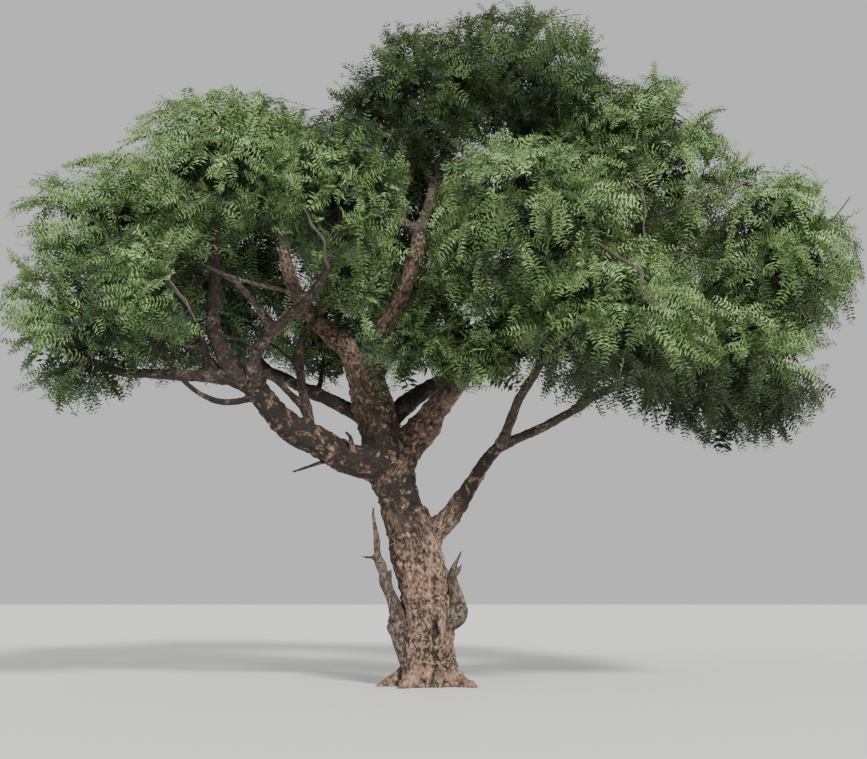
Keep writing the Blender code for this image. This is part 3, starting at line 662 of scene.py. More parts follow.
def sharedPlanes(mass):
    # the planes between a mass and the neighbours that its ellipsoid reaches into: normal, offset
    planes = []
    centre = Vector(mass.centre)
    for other in massTable:
        if other is mass:
            continue
        apart = Vector(other.centre) - centre
        normal = apart.normalized()
        mine, theirs = (
            math.sqrt(sum((r * n) ** 2 for r, n in zip(m.radii, normal))) for m in (mass, other)
        )
        if mine + theirs > apart.length:
            offset = normal.dot(centre) + apart.length * mine / (mine + theirs) - twigForm["massGap"] / 2
            planes.append((normal, offset))
    return planes


def inSpace(mass, planes, place):
    off = place - Vector(mass.centre)
    if sum((o / r) ** 2 for o, r in zip(off, mass.radii)) > 1:
        return False
    return all(normal.dot(place) < offset for normal, offset in planes)


limbCentres = []
limbGirths = []
for limb in limbTable:
    points, radii = limbLine(limb.name)
    for n in range(limbForm["samples"] + 1):
        limbCentres.append(along(points, n / limbForm["samples"]))
        limbGirths.append(along(radii, n / limbForm["samples"]))
limbCentres = np.array(limbCentres)
limbGirths = np.array(limbGirths)


def clearOfLimbs(start, end, radius):
    steps = max(2, math.ceil((end - start).length / 0.08))
    for n in range(steps + 1):
        apart = np.linalg.norm(limbCentres - np.array(start.lerp(end, n / steps)), axis=1)
        if (apart < limbGirths + radius + twigForm["limbClearance"]).any():
            return False
    return True


def spreadInside(mass, planes, perArea, fewest, shares, seed, drawnIn=0.0):
    # places spread evenly round the mass's middle, at the given shares of the way out in turn;
    # one that lies past a shared plane is drawn in until it is inside, or left out past drawnIn
    chance = random.Random(mass.name + seed)
    centre = Vector(mass.centre)
    a, b, c = mass.radii
    count = max(fewest, round(perArea * 4 * math.pi * (a * b + a * c + b * c) / 3))
    places = []
    for n in range(count):
        height = 1 - (2 * n + 1) / count
        ring = math.sqrt(1 - height * height)
        angle = n * goldenAngle + chance.uniform(-0.2, 0.2)
        off = Vector((a * ring * math.cos(angle), b * ring * math.sin(angle), c * height))
        off *= shares[n % len(shares)]
        left = 1.0
        while not inSpace(mass, planes, centre + off):
            off *= 0.93
            left *= 0.93
        if left > drawnIn:
            places.append(centre + off)
    return places


def growTwigs(mass, planes, stem, radii):
    # a twig to each tip, the nearest first, from the place on what has grown that it reaches soonest
    nodes = []
    path = 0.0
    for before, place, radius in zip(stem, stem[1:], radii[1:]):
        path += (place - before).length
        nodes.append((place, radius, path))
    twigs = []
    tips = spreadInside(mass, planes, twigForm["perArea"], twigForm["fewest"], twigForm["shares"], "_twigs")
    for tip in sorted(tips, key=lambda place: min((place - node[0]).length for node in nodes)):
        byCost = sorted(nodes, key=lambda node: (tip - node[0]).length + twigForm["detourCost"] * node[2])
        for place, radius, path in byCost[:6]:
            length = (tip - place).length
            thick = min(radius * 0.6, 0.01 + 0.012 * length)
            if length > 0.2 and clearOfLimbs(place, tip, thick):
                twigs.append((place, tip, thick))
                for share in twigForm["branchingShares"]:
                    there = thick * (1 - (1 - twigForm["taper"]) * share)
                    nodes.append((place.lerp(tip, share), there, path + length * share))
                break
    return twigs


branchletForm = {
    "perArea": 3.6,  # for each square metre of the ellipsoid
    "shares": (0.84, 0.66, 0.76, 0.55, 0.88),
    "nodeGap": 0.12,  # between the places on wood that can carry a branchlet
    "lift": {"spread": 0.1, "hang": 0.24, "rise": 0.02},  # of the middle, as a share of the length
    "steps": 5,
}

# How the shoots of a habit lie, as parts of a direction: away from the tree's middle, out from the
# heart of the mass and down; how far the middle stands up, as a share of the length; and how level
# the leaves are held.
habits = {
    "spread": {"away": 0.7, "out": 0.4, "fall": 0.15, "lift": 0.12, "level": 0.25},
    "hang": {"away": 0.3, "out": 0.35, "fall": 0.95, "lift": 0.12, "level": 0.05},
    "rise": {"away": 0.2, "out": 0.6, "fall": -0.3, "lift": 0.0, "level": 0.2},
}

shootForm = {
    "perArea": 40.0,
    "shares": (0.94, 0.84, 0.97, 0.76, 0.9, 0.8, 0.95, 0.87),
    "drawnIn": 0.55,  # a shoot whose tip is drawn in further than this is left out
    "overlap": 0.14,  # how far shoots reach past the plane between two masses
    "clumps": (2.1, 0.24),  # how many a metre, and how far they stand out, as a share of the way
    "length": (0.24, 0.58),
    "longest": 1.3,  # a shoot that would have to be longer is left out
    "fan": 0.52,
    "stemRadius": 0.0042,
    "steps": 4,
}

innerForm = {  # the coarser leafage that fills the heart of a mass, given the deep tone, which is painted shade
    "perArea": 5.6,
    "shares": (0.62, 0.46, 0.56, 0.38),
    "length": (0.45, 0.75),
}

Shoot = namedtuple("Shoot", "points face girths shade size")


def bent(start, bend, end, steps):
    return [start.lerp(bend, n / steps).lerp(bend.lerp(end, n / steps), n / steps) for n in range(steps + 1)]


def growBranchlets(mass, planes, twigs, stem):
    # finer twigs from the twigs and the stem, each a bent line of points with its radii
    nodes = [(place, 0.02) for place in stem[2:]]
    for start, end, thick in twigs:
        count = max(2, round((end - start).length / branchletForm["nodeGap"]))
        for n in range(1, count + 1):
            nodes.append((start.lerp(end, n / count), thick * (1 - (1 - twigForm["taper"]) * n / count)))
    grown = []
    form = branchletForm
    tips = spreadInside(mass, planes, form["perArea"], 12, form["shares"], "_branchlets", 0.45)
    centre = Vector(mass.centre)
    for tip in tips:
        outward = (tip - centre).normalized()
        place, radius = min(
            nodes, key=lambda node: (tip - node[0]).length - 0.5 * (tip - node[0]).normalized().dot(outward)
        )
        length = (tip - place).length
        if length < 0.12 or inOpening(tip):
            continue
        thick = min(radius * 0.7, 0.005 + 0.006 * length)
        bend = place.lerp(tip, 0.5) + Vector((0, 0, form["lift"][mass.habit] * length))
        points = bent(place, bend, tip, form["steps"])
        girths = [thick + (0.0045 - thick) * n / form["steps"] for n in range(form["steps"] + 1)]
        grown.append((points, girths))
        for n in (2, 3, 4):
            nodes.append((points[n], girths[n]))
    return grown


class WoodNodes:
    # the places on a mass's twigs that can carry a shoot, with the wood's direction there
    def __init__(self, twigs, branchlets):
        places = []
        ways = []
        for start, end, _ in twigs:
            for share in (0.4, 0.55, 0.7, 0.85, 1.0):
                places.append(start.lerp(end, share))
                ways.append((end - start).normalized())
        for points, _ in branchlets:
            for before, after in zip(points, points[1:]):
                for share in (0.5, 1.0):
                    places.append(before.lerp(after, share))
                    ways.append((after - before).normalized())
        self.places = np.array(places)
        self.ways = np.array(ways)
        self.load = np.zeros(len(places))

    def nearest(self, tip, wanted, way):
        # the node whose shoot would come nearest to the wanted length and direction
        reach = np.array(tip) - self.places
        distance = np.linalg.norm(reach, axis=1) + 1e-6
        straight = reach / distance[:, None]
        cost = abs(distance - wanted) / wanted - 0.9 * straight @ np.array(way)
        cost += 0.25 * self.load - 0.2 * (straight * self.ways).sum(1)
        cost[(distance < 0.4 * wanted) | (distance > 1.8 * wanted)] += 5.0
        best = int(cost.argmin())
        self.load[best] += 1
        return Vector(self.places[best]), Vector(self.ways[best]), distance[best]


def outwardAt(mass, place):
    off = place - Vector(mass.centre)
    return Vector([o / r**2 for o, r in zip(off, mass.radii)]).normalized()


def awayFromTree(place):
    level = Vector((place.x + 0.5, place.y - 0.1, 0))
    return level.normalized() if level.length > 0.01 else Vector((1, 0, 0))


def shootWay(mass, place, outward, chance):
    # the way a shoot points where its tip lies
    habit = habits[mass.habit]
    away = awayFromTree(place)
    way = away * habit["away"] * max(0.15, 0.4 + outward.dot(away)) + outward * habit["out"]
    way.z -= habit["fall"] * (1 - 0.8 * max(0.0, outward.z))
    fan = Vector([chance.uniform(-1, 1) for _ in range(3)]) * shootForm["fan"]
    return (way + fan).normalized()


# each mass's shift is partly its own colour and partly painted light and shade
toneForm = {
    "shift": {"bright": 0.32, "fresh": 0.05, "olive": 0.0, "green": -0.1, "teal": -0.12, "hem": 0.04},
    "up": 0.3,  # how much painted light a shoot gets for facing up, and for facing away from the tree
    "away": 0.16,
    "clumps": ((1.6, 0.4), (3.6, 0.45)),  # how many a metre, and how much they count
    "spread": 0.3,
    "hem": (4.4, 3.4, 0.8),  # painted shade on the lower edge of the east side: from this height to this, and how dark
}

# painted light and shade: where the leafage is painted brighter or darker than its mass: the middle, the half
# widths, how much
paintedShading = (
    ((-0.9, -1.3, 7.0), (0.9, 1.9, 0.65), -0.75),  # under the top lobe
    ((-0.9, -0.6, 5.15), (0.6, 1.6, 0.65), 0.75),  # the light heart
    ((-3.2, -1.4, 6.6), (1.3, 1.8, 0.9), 0.5),
    ((-4.6, -0.9, 4.9), (1.2, 1.9, 0.9), -0.28),
    ((1.2, -1.7, 5.9), (1.5, 1.9, 1.2), -0.14),
    ((4.2, -0.8, 5.8), (1.6, 2.0, 1.1), 0.2),
    ((2.7, -1.2, 3.85), (1.6, 2.0, 0.5), -0.25),  # the shaded hem
)


def toneOf(mass, place, outward, chance):
    # the colour that a shoot is dealt: by its mass and the clump it lies in, and as painted light and shade
    # by the way it faces, the east hem and the zones of painted light and shade
    form = toneForm
    light = form["shift"][mass.tone] + chance.gauss(0, form["spread"])
    light += form["up"] * outward.z + form["away"] * outward.dot(awayFromTree(place))
    for scale, share in form["clumps"]:
        light += share * noise.noise(place * scale + Vector((3, 1, 7)))
    # painted shade on the lower edge of the east side
    top, bottom, dark = form["hem"]
    if place.x > 1.3:
        light -= dark * float(smoothStep(top, bottom, place.z))
    for middle, half, change in paintedShading:
        apart = sum(((p - m) / h) ** 2 for p, m, h in zip(place, middle, half))
        light += change * max(0.0, 1 - apart**2)
    # the darkest tones are painted shade, and sunlit is painted sunlight
    warm = mass.tone in ("fresh", "green", "hem") and place.x > 0
    if light < (-0.42 if warm else -0.62):
        return "shade"
    if light < -0.25:
        return "olive" if warm else "teal"
    if mass.tone == "olive":
        return "olive" if light < 0.6 else "green"
    if light < 0.05:
        return "green"
    return "fresh" if light < 0.42 else "sunlit"


# gaps in the leafage, where a bough or the sky shows: the middle and the half widths of each
openings = (
    ((-2.3, -2.9, 4.85), (0.55, 1.5, 0.62)),
    ((-2.62, -2.4, 4.98), (0.42, 1.4, 0.6)),
    ((-1.75, -2.2, 4.75), (0.5, 0.9, 0.35)),
    ((3.62, 0.4, 7.95), (0.2, 1.6, 0.45)),
    ((3.3, 0.4, 8.42), (0.2, 1.6, 0.3)),
    ((4.16, 0.4, 7.72), (0.17, 1.6, 0.42)),
    ((4.66, 0.3, 7.1), (0.2, 1.6, 0.36)),
    ((3.28, 0.2, 6.68), (0.16, 1.4, 0.12)),
    ((3.82, 0.2, 6.95), (0.12, 1.4, 0.1)),
    ((5.52, -0.2, 6.5), (0.3, 1.6, 0.36)),
    ((5.78, -0.2, 6.02), (0.14, 1.6, 0.22)),
    ((-4.75, -0.7, 6.72), (0.5, 1.6, 0.13)),
    ((-4.75, -0.7, 6.02), (0.32, 1.6, 0.16)),
    ((-5.35, -0.9, 4.25), (0.4, 1.6, 0.32)),
    ((-1.08, 0.5, 8.66), (0.5, 1.6, 0.4)),
    ((-1.42, 0.5, 8.22), (0.26, 1.6, 0.24)),
    ((-2.28, -1.4, 7.62), (0.16, 1.6, 0.22)),
    ((-3.05, -1.4, 7.62), (0.2, 1.6, 0.17)),
    ((-1.5, -1.0, 7.36), (0.22, 1.6, 0.18)),
    ((-1.8, 0.6, 8.0), (0.5, 1.6, 0.16)),
    ((-3.5, -0.7, 7.6), (0.35, 1.6, 0.2)),
    ((-4.75, -1.0, 5.12), (0.2, 1.6, 0.1)),
    ((5.3, -0.3, 4.1), (0.35, 1.6, 0.3)),
    ((-0.51, -1.4, 4.74), (0.24, 1.5, 0.26)),
    ((-0.35, -1.4, 5.1), (0.24, 1.5, 0.28)),
    ((-0.21, -1.4, 5.45), (0.2, 1.5, 0.24)),
    ((-0.01, -1.3, 6.63), (0.2, 1.6, 0.5)),
    ((-4.33, -1.7, 4.12), (0.36, 0.95, 0.13)),
    ((-3.9, -1.7, 4.01), (0.36, 0.95, 0.13)),
    ((2.84, -0.8, 2.93), (0.5, 1.8, 0.4)),
    ((4.38, -0.8, 2.62), (0.7, 1.8, 0.45)),
    ((5.12, -0.6, 2.91), (0.35, 1.8, 0.3)),
    ((5.32, -0.4, 3.2), (0.28, 1.8, 0.35)),
)

# where a mass reaches out between its neighbours: the middle, how far round it, and how many shoots
fillings = {
    "back_west_foliage": (
        ((-2.4, 1.5, 6.05), 0.45, 40),
        ((-2.25, 1.5, 6.1), 0.34, 40),
        ((-2.74, 1.4, 6.13), 0.3, 34),
    ),
    "leader_foliage": (
        ((-2.2, 1.3, 6.15), 0.35, 40),
        ((-2.41, 1.4, 6.3), 0.3, 34),
        ((-1.78, 1.3, 5.85), 0.34, 50),
    ),
    "back_mid_foliage": (
        ((-1.65, 1.5, 5.45), 0.32, 34),
        ((-1.5, 1.4, 5.36), 0.25, 24),
        ((0.2, 1.4, 5.05), 0.28, 60),
        ((-1.25, 1.4, 4.2), 0.28, 16),
    ),
    "top_west_foliage": (
        ((-0.2, 1.2, 6.85), 0.28, 30),
    ),
    "inner_foliage": (
        ((-1.45, 0.6, 5.5), 0.3, 20),
        ((0.15, 0.0, 5.1), 0.3, 50),
        ((0.15, 0.6, 5.03), 0.24, 60),
    ),
    "east_front_foliage": (
        ((0.5, -0.9, 5.2), 0.42, 40),
        ((0.3, -1.0, 5.02), 0.3, 34),
    ),
    "east_low_foliage": (
        ((0.82, -0.8, 4.92), 0.3, 30),
        ((1.2, -1.0, 4.7), 0.35, 30),
    ),
    "centre_front_foliage": (
        ((-0.02, -0.8, 4.95), 0.26, 60),
        ((-0.4, -0.6, 4.02), 0.27, 24),
        ((-0.04, -0.4, 4.33), 0.24, 50),
    ),
    "centre_low_foliage": (
        ((0.28, -0.8, 4.9), 0.26, 50),
        ((1.17, -0.8, 4.53), 0.2, 40),
        ((1.27, -0.8, 4.32), 0.2, 34),
        ((0.15, -0.4, 4.3), 0.2, 40),
        ((1.05, -0.9, 4.62), 0.24, 30),
        ((1.05, -1.0, 4.02), 0.24, 20),
    ),
    "back_centre_foliage": (
        ((0.2, 1.5, 5.1), 0.28, 50),
        ((0.7, 1.3, 5.05), 0.3, 60),
        ((0.88, 1.2, 5.33), 0.26, 40),
    ),
    "east_hem_foliage": (
        ((3.3, -0.6, 3.72), 0.7, 80),
        ((4.1, -0.5, 3.5), 0.7, 80),
        ((4.75, -0.4, 3.7), 0.6, 60),
    ),
}


def inOpening(place):
    return any(
        sum(((p - m) / h) ** 2 for p, m, h in zip(place, middle, half)) < 1 for middle, half in openings
    )


def shootTo(tip, mass, nodes, wanted, outward, chance):
    # a bent shoot to a tip, from the wood that it would leave most naturally
    habit = habits[mass.habit]
    way = shootWay(mass, tip, outward, chance)
    root, direction, length = nodes.nearest(tip, wanted, way)
    if length > shootForm["longest"]:
        return None
    half = length * 0.5
    bend = root.lerp(tip, 0.5) * 0.5 + (tip - way * half) * 0.3 + (root + direction * half) * 0.2
    bend.z += habit["lift"] * length * chance.uniform(0.4, 1.5)
    points = bent(root, bend, tip, shootForm["steps"])
    if inOpening(tip) or inOpening(points[2]):
        return None
    lean = Vector([chance.uniform(-0.5, 0.5) for _ in range(3)])
    face = Vector((0, 0, 1)) * habit["level"] + outward * (1 - habit["level"]) + lean
    steps = shootForm["steps"]
    girths = [shootForm["stemRadius"] * (1 - 0.5 * n / steps) for n in range(steps + 1)]
    return Shoot(points, face.normalized(), girths, chance.random(), chance.uniform(0.85, 1.15))


def growShoots(mass, planes, nodes):
    # the fine shoots of the outer leafage and the coarse ones inside it, each with its tone
    chance = random.Random(mass.name + "_shoots")
    thin = 1.0
    form = shootForm
    centre = Vector(mass.centre)
    wider = [(normal, offset + form["overlap"]) for normal, offset in planes]
    grown = []
    clumpScale, clumpDepth = form["clumps"]
    density = form["perArea"] * thin
    for tip in spreadInside(mass, wider, density, 40, form["shares"], "_shoots", form["drawnIn"]):
        off = tip - centre
        tip = centre + off * (1 + clumpDepth * min(0.2, noise.noise(tip * clumpScale) - 0.06))
        outward = outwardAt(mass, tip)
        shoot = shootTo(tip, mass, nodes, chance.uniform(*form["length"]), outward, chance)
        if shoot:
            grown.append((toneOf(mass, tip, outward, chance), shoot))
    for middle, width, count in fillings.get(mass.name, ()):
        for n in range(round(count * thin)):
            tip = Vector(middle) + Vector([chance.gauss(0, width / 2) for _ in range(3)])
            outward = outwardAt(mass, tip)
            shoot = shootTo(tip, mass, nodes, chance.uniform(*form["length"]), outward, chance)
            if shoot:
                # every fourth filling shoot is given the deep tone, painted shade
                grown.append(("deep" if n % 4 == 1 else toneOf(mass, tip, outward, chance), shoot))
    form = innerForm
    # the inner shoots take the deep tone, the painted shade of the heart
    for tip in spreadInside(mass, wider, form["perArea"] * thin, 30, form["shares"], "_inner", 0.5):
        shoot = shootTo(tip, mass, nodes, chance.uniform(*form["length"]), outwardAt(mass, tip), chance)
        if shoot:
            grown.append(("deep", shoot))
    return grown


# sprays that stand clear of the crown, by the mass that bears them: the tip, and where it comes out
straySprays = {
    "east_high_foliage": (
        ((3.14, 0.4, 8.47), (3.1, 0.4, 7.9)),
        ((2.92, 0.3, 8.1), (3.12, 0.35, 7.9)),
        ((3.5, 0.3, 8.08), (3.12, 0.35, 7.9)),
        ((3.9, 0.3, 7.62), (3.8, 0.3, 7.2)),
        ((3.72, 0.2, 7.48), (3.75, 0.3, 7.15)),
        ((4.02, 0.2, 7.42), (3.85, 0.3, 7.15)),
        ((4.42, 0.3, 7.18), (4.15, 0.3, 6.8)),
        ((4.56, 0.2, 6.98), (4.2, 0.3, 6.8)),
        ((4.22, 0.1, 7.14), (4.12, 0.2, 6.8)),
    ),
    "east_far_foliage": (
        ((4.99, 0.0, 6.86), (4.95, 0.0, 6.35)),
        ((4.8, -0.1, 6.66), (4.9, 0.0, 6.3)),
        ((5.12, -0.1, 6.62), (5.0, 0.0, 6.25)),
        ((5.3, -0.1, 6.36), (5.28, -0.1, 5.9)),
        ((5.47, -0.1, 6.08), (5.25, -0.1, 5.8)),
        ((5.57, -0.2, 5.86), (5.4, -0.2, 5.45)),
        ((5.68, -0.3, 5.5), (5.4, -0.2, 5.2)),
    ),
    "west_shoulder_foliage": (
        ((-4.77, -0.7, 6.78), (-3.95, -0.7, 7.04)),
        ((-4.45, -0.75, 6.8), (-3.9, -0.7, 7.0)),
        ((-5.45, -0.7, 6.22), (-4.75, -0.7, 6.38)),
        ((-4.37, -0.7, 6.58), (-3.95, -0.7, 6.32)),
        ((-4.97, -0.8, 5.95), (-5.02, -0.8, 5.55)),
        ((-4.78, -0.8, 5.92), (-4.6, -0.8, 5.6)),
    ),
    "west_tip_foliage": (
        ((-5.44, -0.8, 5.66), (-5.12, -0.8, 5.25)),
        ((-5.38, -0.8, 4.32), (-4.98, -0.8, 4.68)),
        ((-5.2, -0.9, 4.1), (-4.9, -0.9, 4.5)),
        ((-4.72, -0.9, 3.55), (-4.6, -0.9, 4.05)),
        ((-3.9, -1.0, 3.7), (-4.1, -0.95, 4.1)),
    ),
    "west_crown_foliage": (
        ((-3.3, -1.3, 7.38), (-3.0, -1.3, 7.15)),
        ((-2.6, -1.3, 7.68), (-2.97, -1.3, 7.38)),
        ((-2.38, -1.3, 7.58), (-2.58, -1.3, 7.25)),
        ((-2.04, -1.2, 7.44), (-2.0, -1.2, 7.1)),
        ((-1.78, -1.2, 7.38), (-1.84, -1.2, 7.05)),
        ((-1.62, -1.2, 7.28), (-1.78, -1.2, 7.0)),
    ),
    "leader_foliage": (
        ((-2.0, 0.4, 7.9), (-1.9, 0.5, 7.55)),
    ),
    "top_west_foliage": (
        ((-1.36, 0.4, 8.1), (-1.0, 0.4, 7.85)),
        ((-0.76, 0.5, 8.74), (-0.5, 0.5, 8.35)),
    ),
    "top_foliage": (
        ((0.58, 0.7, 9.26), (0.56, 0.7, 8.85)),
        ((0.92, 0.8, 9.42), (0.9, 0.8, 9.0)),
        ((2.4, 0.9, 8.8), (2.1, 0.9, 8.45)),
    ),
    "east_hem_foliage": (
        ((4.5, -0.5, 3.2), (4.4, -0.5, 3.65)),
    ),
}

fingerForm = {  # such sprays, and the shorter ones all round the crown
    "reach": 0.45,  # wanted from the wood to where a named spray comes out
    "ranks": 3,  # ranks of leaf pairs turned round the stem
    "size": (0.78, 1.05),  # of the leaves, on the short ones and on the named ones
    "sides": 5,  # sprigs at its sides
    "sideLength": (0.22, 0.1),
    "angle": 0.8,
    "turn": 2.4,  # each sprig's turn round the stem from the one before
    "perArea": 0.95,  # for each square metre of a mass's ellipsoid
    "shares": (0.93, 1.0, 0.96, 1.02),
    "length": (0.3, 0.55),
    "pastBox": 0.08,
}


def growFinger(root, foot, tip, sides, chance):
    # a dense narrow spray on a bent stem, leafy over its outer part
    form = fingerForm
    size = form["size"][1 if sides else 0]
    points = bent(root, foot, tip, 6)
    leafy = points[2:]
    ahead = (leafy[-1] - leafy[0]).normalized()
    face = ahead.cross(Vector((0.3, 0.1, 1))).cross(ahead)
    shoots = []
    for n in range(form["ranks"]):
        turned = Matrix.Rotation(math.pi * n / form["ranks"], 3, ahead) @ face
        moved = [point + ahead * 0.014 * n for point in leafy]
        shoots.append(Shoot(moved, turned, [0.003] * 5, chance.random(), size))
    for n in range(sides):
        share = 0.4 + 0.5 * n / sides
        start = along(points, share)
        across = Matrix.Rotation(form["turn"] * n, 3, ahead) @ face.normalized()
        out = (ahead + across * form["angle"]).normalized()
        end = start + out * along(form["sideLength"], share) * chance.uniform(0.8, 1.25)
        sprig = bent(start, start.lerp(end, 0.5) + Vector((0, 0, 0.02)), end, 4)
        for turn in (0, math.pi / 2):
            turned = Matrix.Rotation(turn, 3, out) @ across.cross(ahead)
            shoots.append(Shoot(sprig, turned, [0.003] * 5, chance.random(), size))
    return (points, [0.009 - 0.001 * n for n in range(7)]), shoots


def insideBox(tip):
    past = fingerForm["pastBox"]
    low, high = cadBox
    return all(l - past < t < h + past for l, t, h in zip(low, tip, high))


def growFingers(mass, planes, nodes):
    # the sprays named above that this mass bears, then the short ones round it, each with its tone
    form = fingerForm
    chance = random.Random(mass.name + "_fingers")
    grown = []
    for tip, foot in straySprays.get(mass.name, ()):
        tip, foot = Vector(tip), Vector(foot)
        way = (tip - foot).normalized()
        root = nodes.nearest(foot, form["reach"], way)[0]
        grown.append((toneOf(mass, tip, way, chance), growFinger(root, foot, tip, form["sides"], chance)))
    density = form["perArea"] * 1.0
    for tip in spreadInside(mass, planes, density, 8, form["shares"], "_fingerTips", 0.9):
        outward = outwardAt(mass, tip)
        way = shootWay(mass, tip, outward, chance)
        length = chance.uniform(*form["length"])
        foot = tip - way * length * 0.6
        if insideBox(tip) and not inOpening(tip):
            root = nodes.nearest(foot, length * 0.8, way)[0]
            grown.append((toneOf(mass, tip, outward, chance), growFinger(root, foot, tip, 0, chance)))
    return grown


# bare and dead twigs: their points, and the radii at foot and tip
bareTwigs = (
    ([(0.5, 0.65, 8.0), (0.48, 0.6, 8.43), (0.47, 0.6, 8.79), (0.43, 0.6, 8.95), (0.47, 0.6, 9.17)],
     0.03, 0.012),
    ([(4.6, -0.15, 5.5), (4.97, -0.2, 5.69), (5.24, -0.2, 5.99), (5.49, -0.2, 6.26), (5.66, -0.2, 6.48)],
     0.02, 0.008),
)


# twigs that show in front of the leaves: the mass that bears one, its points, and radii at foot and tip
shownTwigs = (
    ("east_high_foliage", ((2.39, -0.8, 6.51), (2.63, -0.95, 6.54), (2.79, -1.0, 6.38), (2.82, -1.05, 6.08),
                           (2.79, -1.1, 5.78)), 0.022, 0.014),
    ("east_high_foliage", ((3.32, -0.9, 6.23), (3.61, -1.0, 6.39), (3.88, -0.95, 6.46), (4.07, -0.9, 6.56)),
     0.018, 0.008),
    ("east_high_foliage", ((2.82, -1.1, 5.52), (3.23, -1.3, 5.51), (3.68, -1.3, 5.43), (4.15, -1.2, 5.33)),
     0.016, 0.008),
    ("east_front_foliage", ((2.24, -2.6, 5.3), (2.41, -2.8, 5.16), (2.56, -2.9, 5.0), (2.54, -2.9, 4.8),
                            (2.7, -2.9, 4.64), (2.95, -2.85, 4.75)), 0.026, 0.01),
    ("west_shoulder_foliage", ((-3.74, -1.7, 6.73), (-3.44, -1.85, 6.54), (-3.16, -1.9, 6.35)), 0.012, 0.016),
    ("west_inner_foliage", ((-3.04, -2.5, 4.93), (-2.88, -2.6, 4.75), (-2.76, -2.5, 4.5)), 0.02, 0.012),
    ("centre_west_foliage",
     ((-1.46, -2.9, 5.82), (-1.35, -3.0, 5.58), (-1.2, -2.9, 5.4), (-1.17, -2.6, 5.14)), 0.012, 0.018),
    ("centre_west_foliage", ((-0.86, -2.6, 6.39), (-0.98, -2.65, 6.23), (-1.16, -2.6, 6.08)), 0.012, 0.016),
)


def joined(points, places):
    # the twig's points, led back to the nearest of the places that carry wood
    def cost(line, place):
        ahead = (line[1] - line[0]).normalized()
        back = line[0] - place
        return back.length * (1.7 - back.normalized().dot(ahead))

    ends = [Vector(point) for point in points]
    tries = [(line, min(places, key=lambda place: cost(line, place))) for line in (ends, ends[::-1])]
    line, nearest = min(tries, key=lambda pair: cost(*pair))
    return [nearest] + kinked(line)


def kinked(line):
    # the same line with a bend put between each two of its points
    bends = []
    for n, (before, after) in enumerate(zip(line, line[1:])):
        off = noise.noise_vector(before * 7.0) * (after - before).length * 0.16
        bends += [before, before.lerp(after, 0.5) + off]
    return bends + [line[-1]]


print("growing twigs and shoots")
woodyPaths = []
shootsByTone = {}
for mass in massTable:
    planes = sharedPlanes(mass)
    stem, stemRadii = stemLine(mass)
    twigs = growTwigs(mass, planes, stem, stemRadii)
    branchlets = growBranchlets(mass, planes, twigs, stem)
    for start, end, thick in twigs:
        sag = start.lerp(end, 0.5) + Vector((0, 0, 0.05 * (end - start).length))
        points = bent(start, sag, end, 5)
        woodyPaths.append((points, [thick * (1 - (1 - twigForm["taper"]) * n / 5) for n in range(6)]))
    woodyPaths += branchlets
    nodes = WoodNodes(twigs, branchlets)
    for bearer, shown, foot, tip in shownTwigs:
        if bearer == mass.name:
            points = joined(shown, [Vector(place) for place in nodes.places])
            steps = len(points) - 1
            line, girths = rounded(points, [along((foot, tip), n / steps) for n in range(steps + 1)], 0.08)
            woodyPaths.append(([Vector(place) for place in line], list(girths)))
    for tone, shoot in growShoots(mass, planes, nodes):
        shootsByTone.setdefault(tone, []).append(shoot)
    for tone, (path, shoots) in growFingers(mass, planes, nodes):
        woodyPaths.append(path)
        shootsByTone.setdefault(tone, []).extend(shoots)
for points, foot, tip in bareTwigs:
    steps = len(points) - 1
    radii = [along((foot, tip), n / steps) for n in range(steps + 1)]
    line, girths = rounded([Vector(point) for point in points], radii, 0.08)
    woodyPaths.append(([Vector(place) for place in line], list(girths)))
print({tone: len(shoots) for tone, shoots in shootsByTone.items()})


def addNode(tree, kind, **settings):
    node = tree.nodes.new(kind)
    for name, value in settings.items():
        setattr(node, name, value)
    return node


def pick(sockets, name):
    return next(s for s in sockets if s.name == name and s.enabled)


def wire(tree, source, outName, target, inName):
    tree.links.new(pick(source.outputs, outName), pick(target.inputs, inName))


def newTree(name, inputs):
    tree = bpy.data.node_groups.new(name, "GeometryNodeTree")
    tree.interface.new_socket(name="Geometry", in_out="INPUT", socket_type="NodeSocketGeometry")
    for label, kind in inputs:
        tree.interface.new_socket(name=label, in_out="INPUT", socket_type=kind)
    tree.interface.new_socket(name="Geometry", in_out="OUTPUT", socket_type="NodeSocketGeometry")
    return tree, addNode(tree, "NodeGroupInput"), addNode(tree, "NodeGroupOutput")


def namedValue(tree, name, kind="FLOAT"):
    node = addNode(tree, "GeometryNodeInputNamedAttribute", data_type=kind)
    node.inputs["Name"].default_value = name
    return node


def grow(thing, tree, values):
    # runs a tree on the object with the given inputs and keeps the result as a plain mesh
    modifier = thing.modifiers.new(tree.name, "NODES")
    modifier.node_group = tree
    for item in tree.interface.items_tree:
        if item.in_out == "INPUT" and item.name in values:
            modifier[item.identifier] = values[item.name]
    return applied(thing)


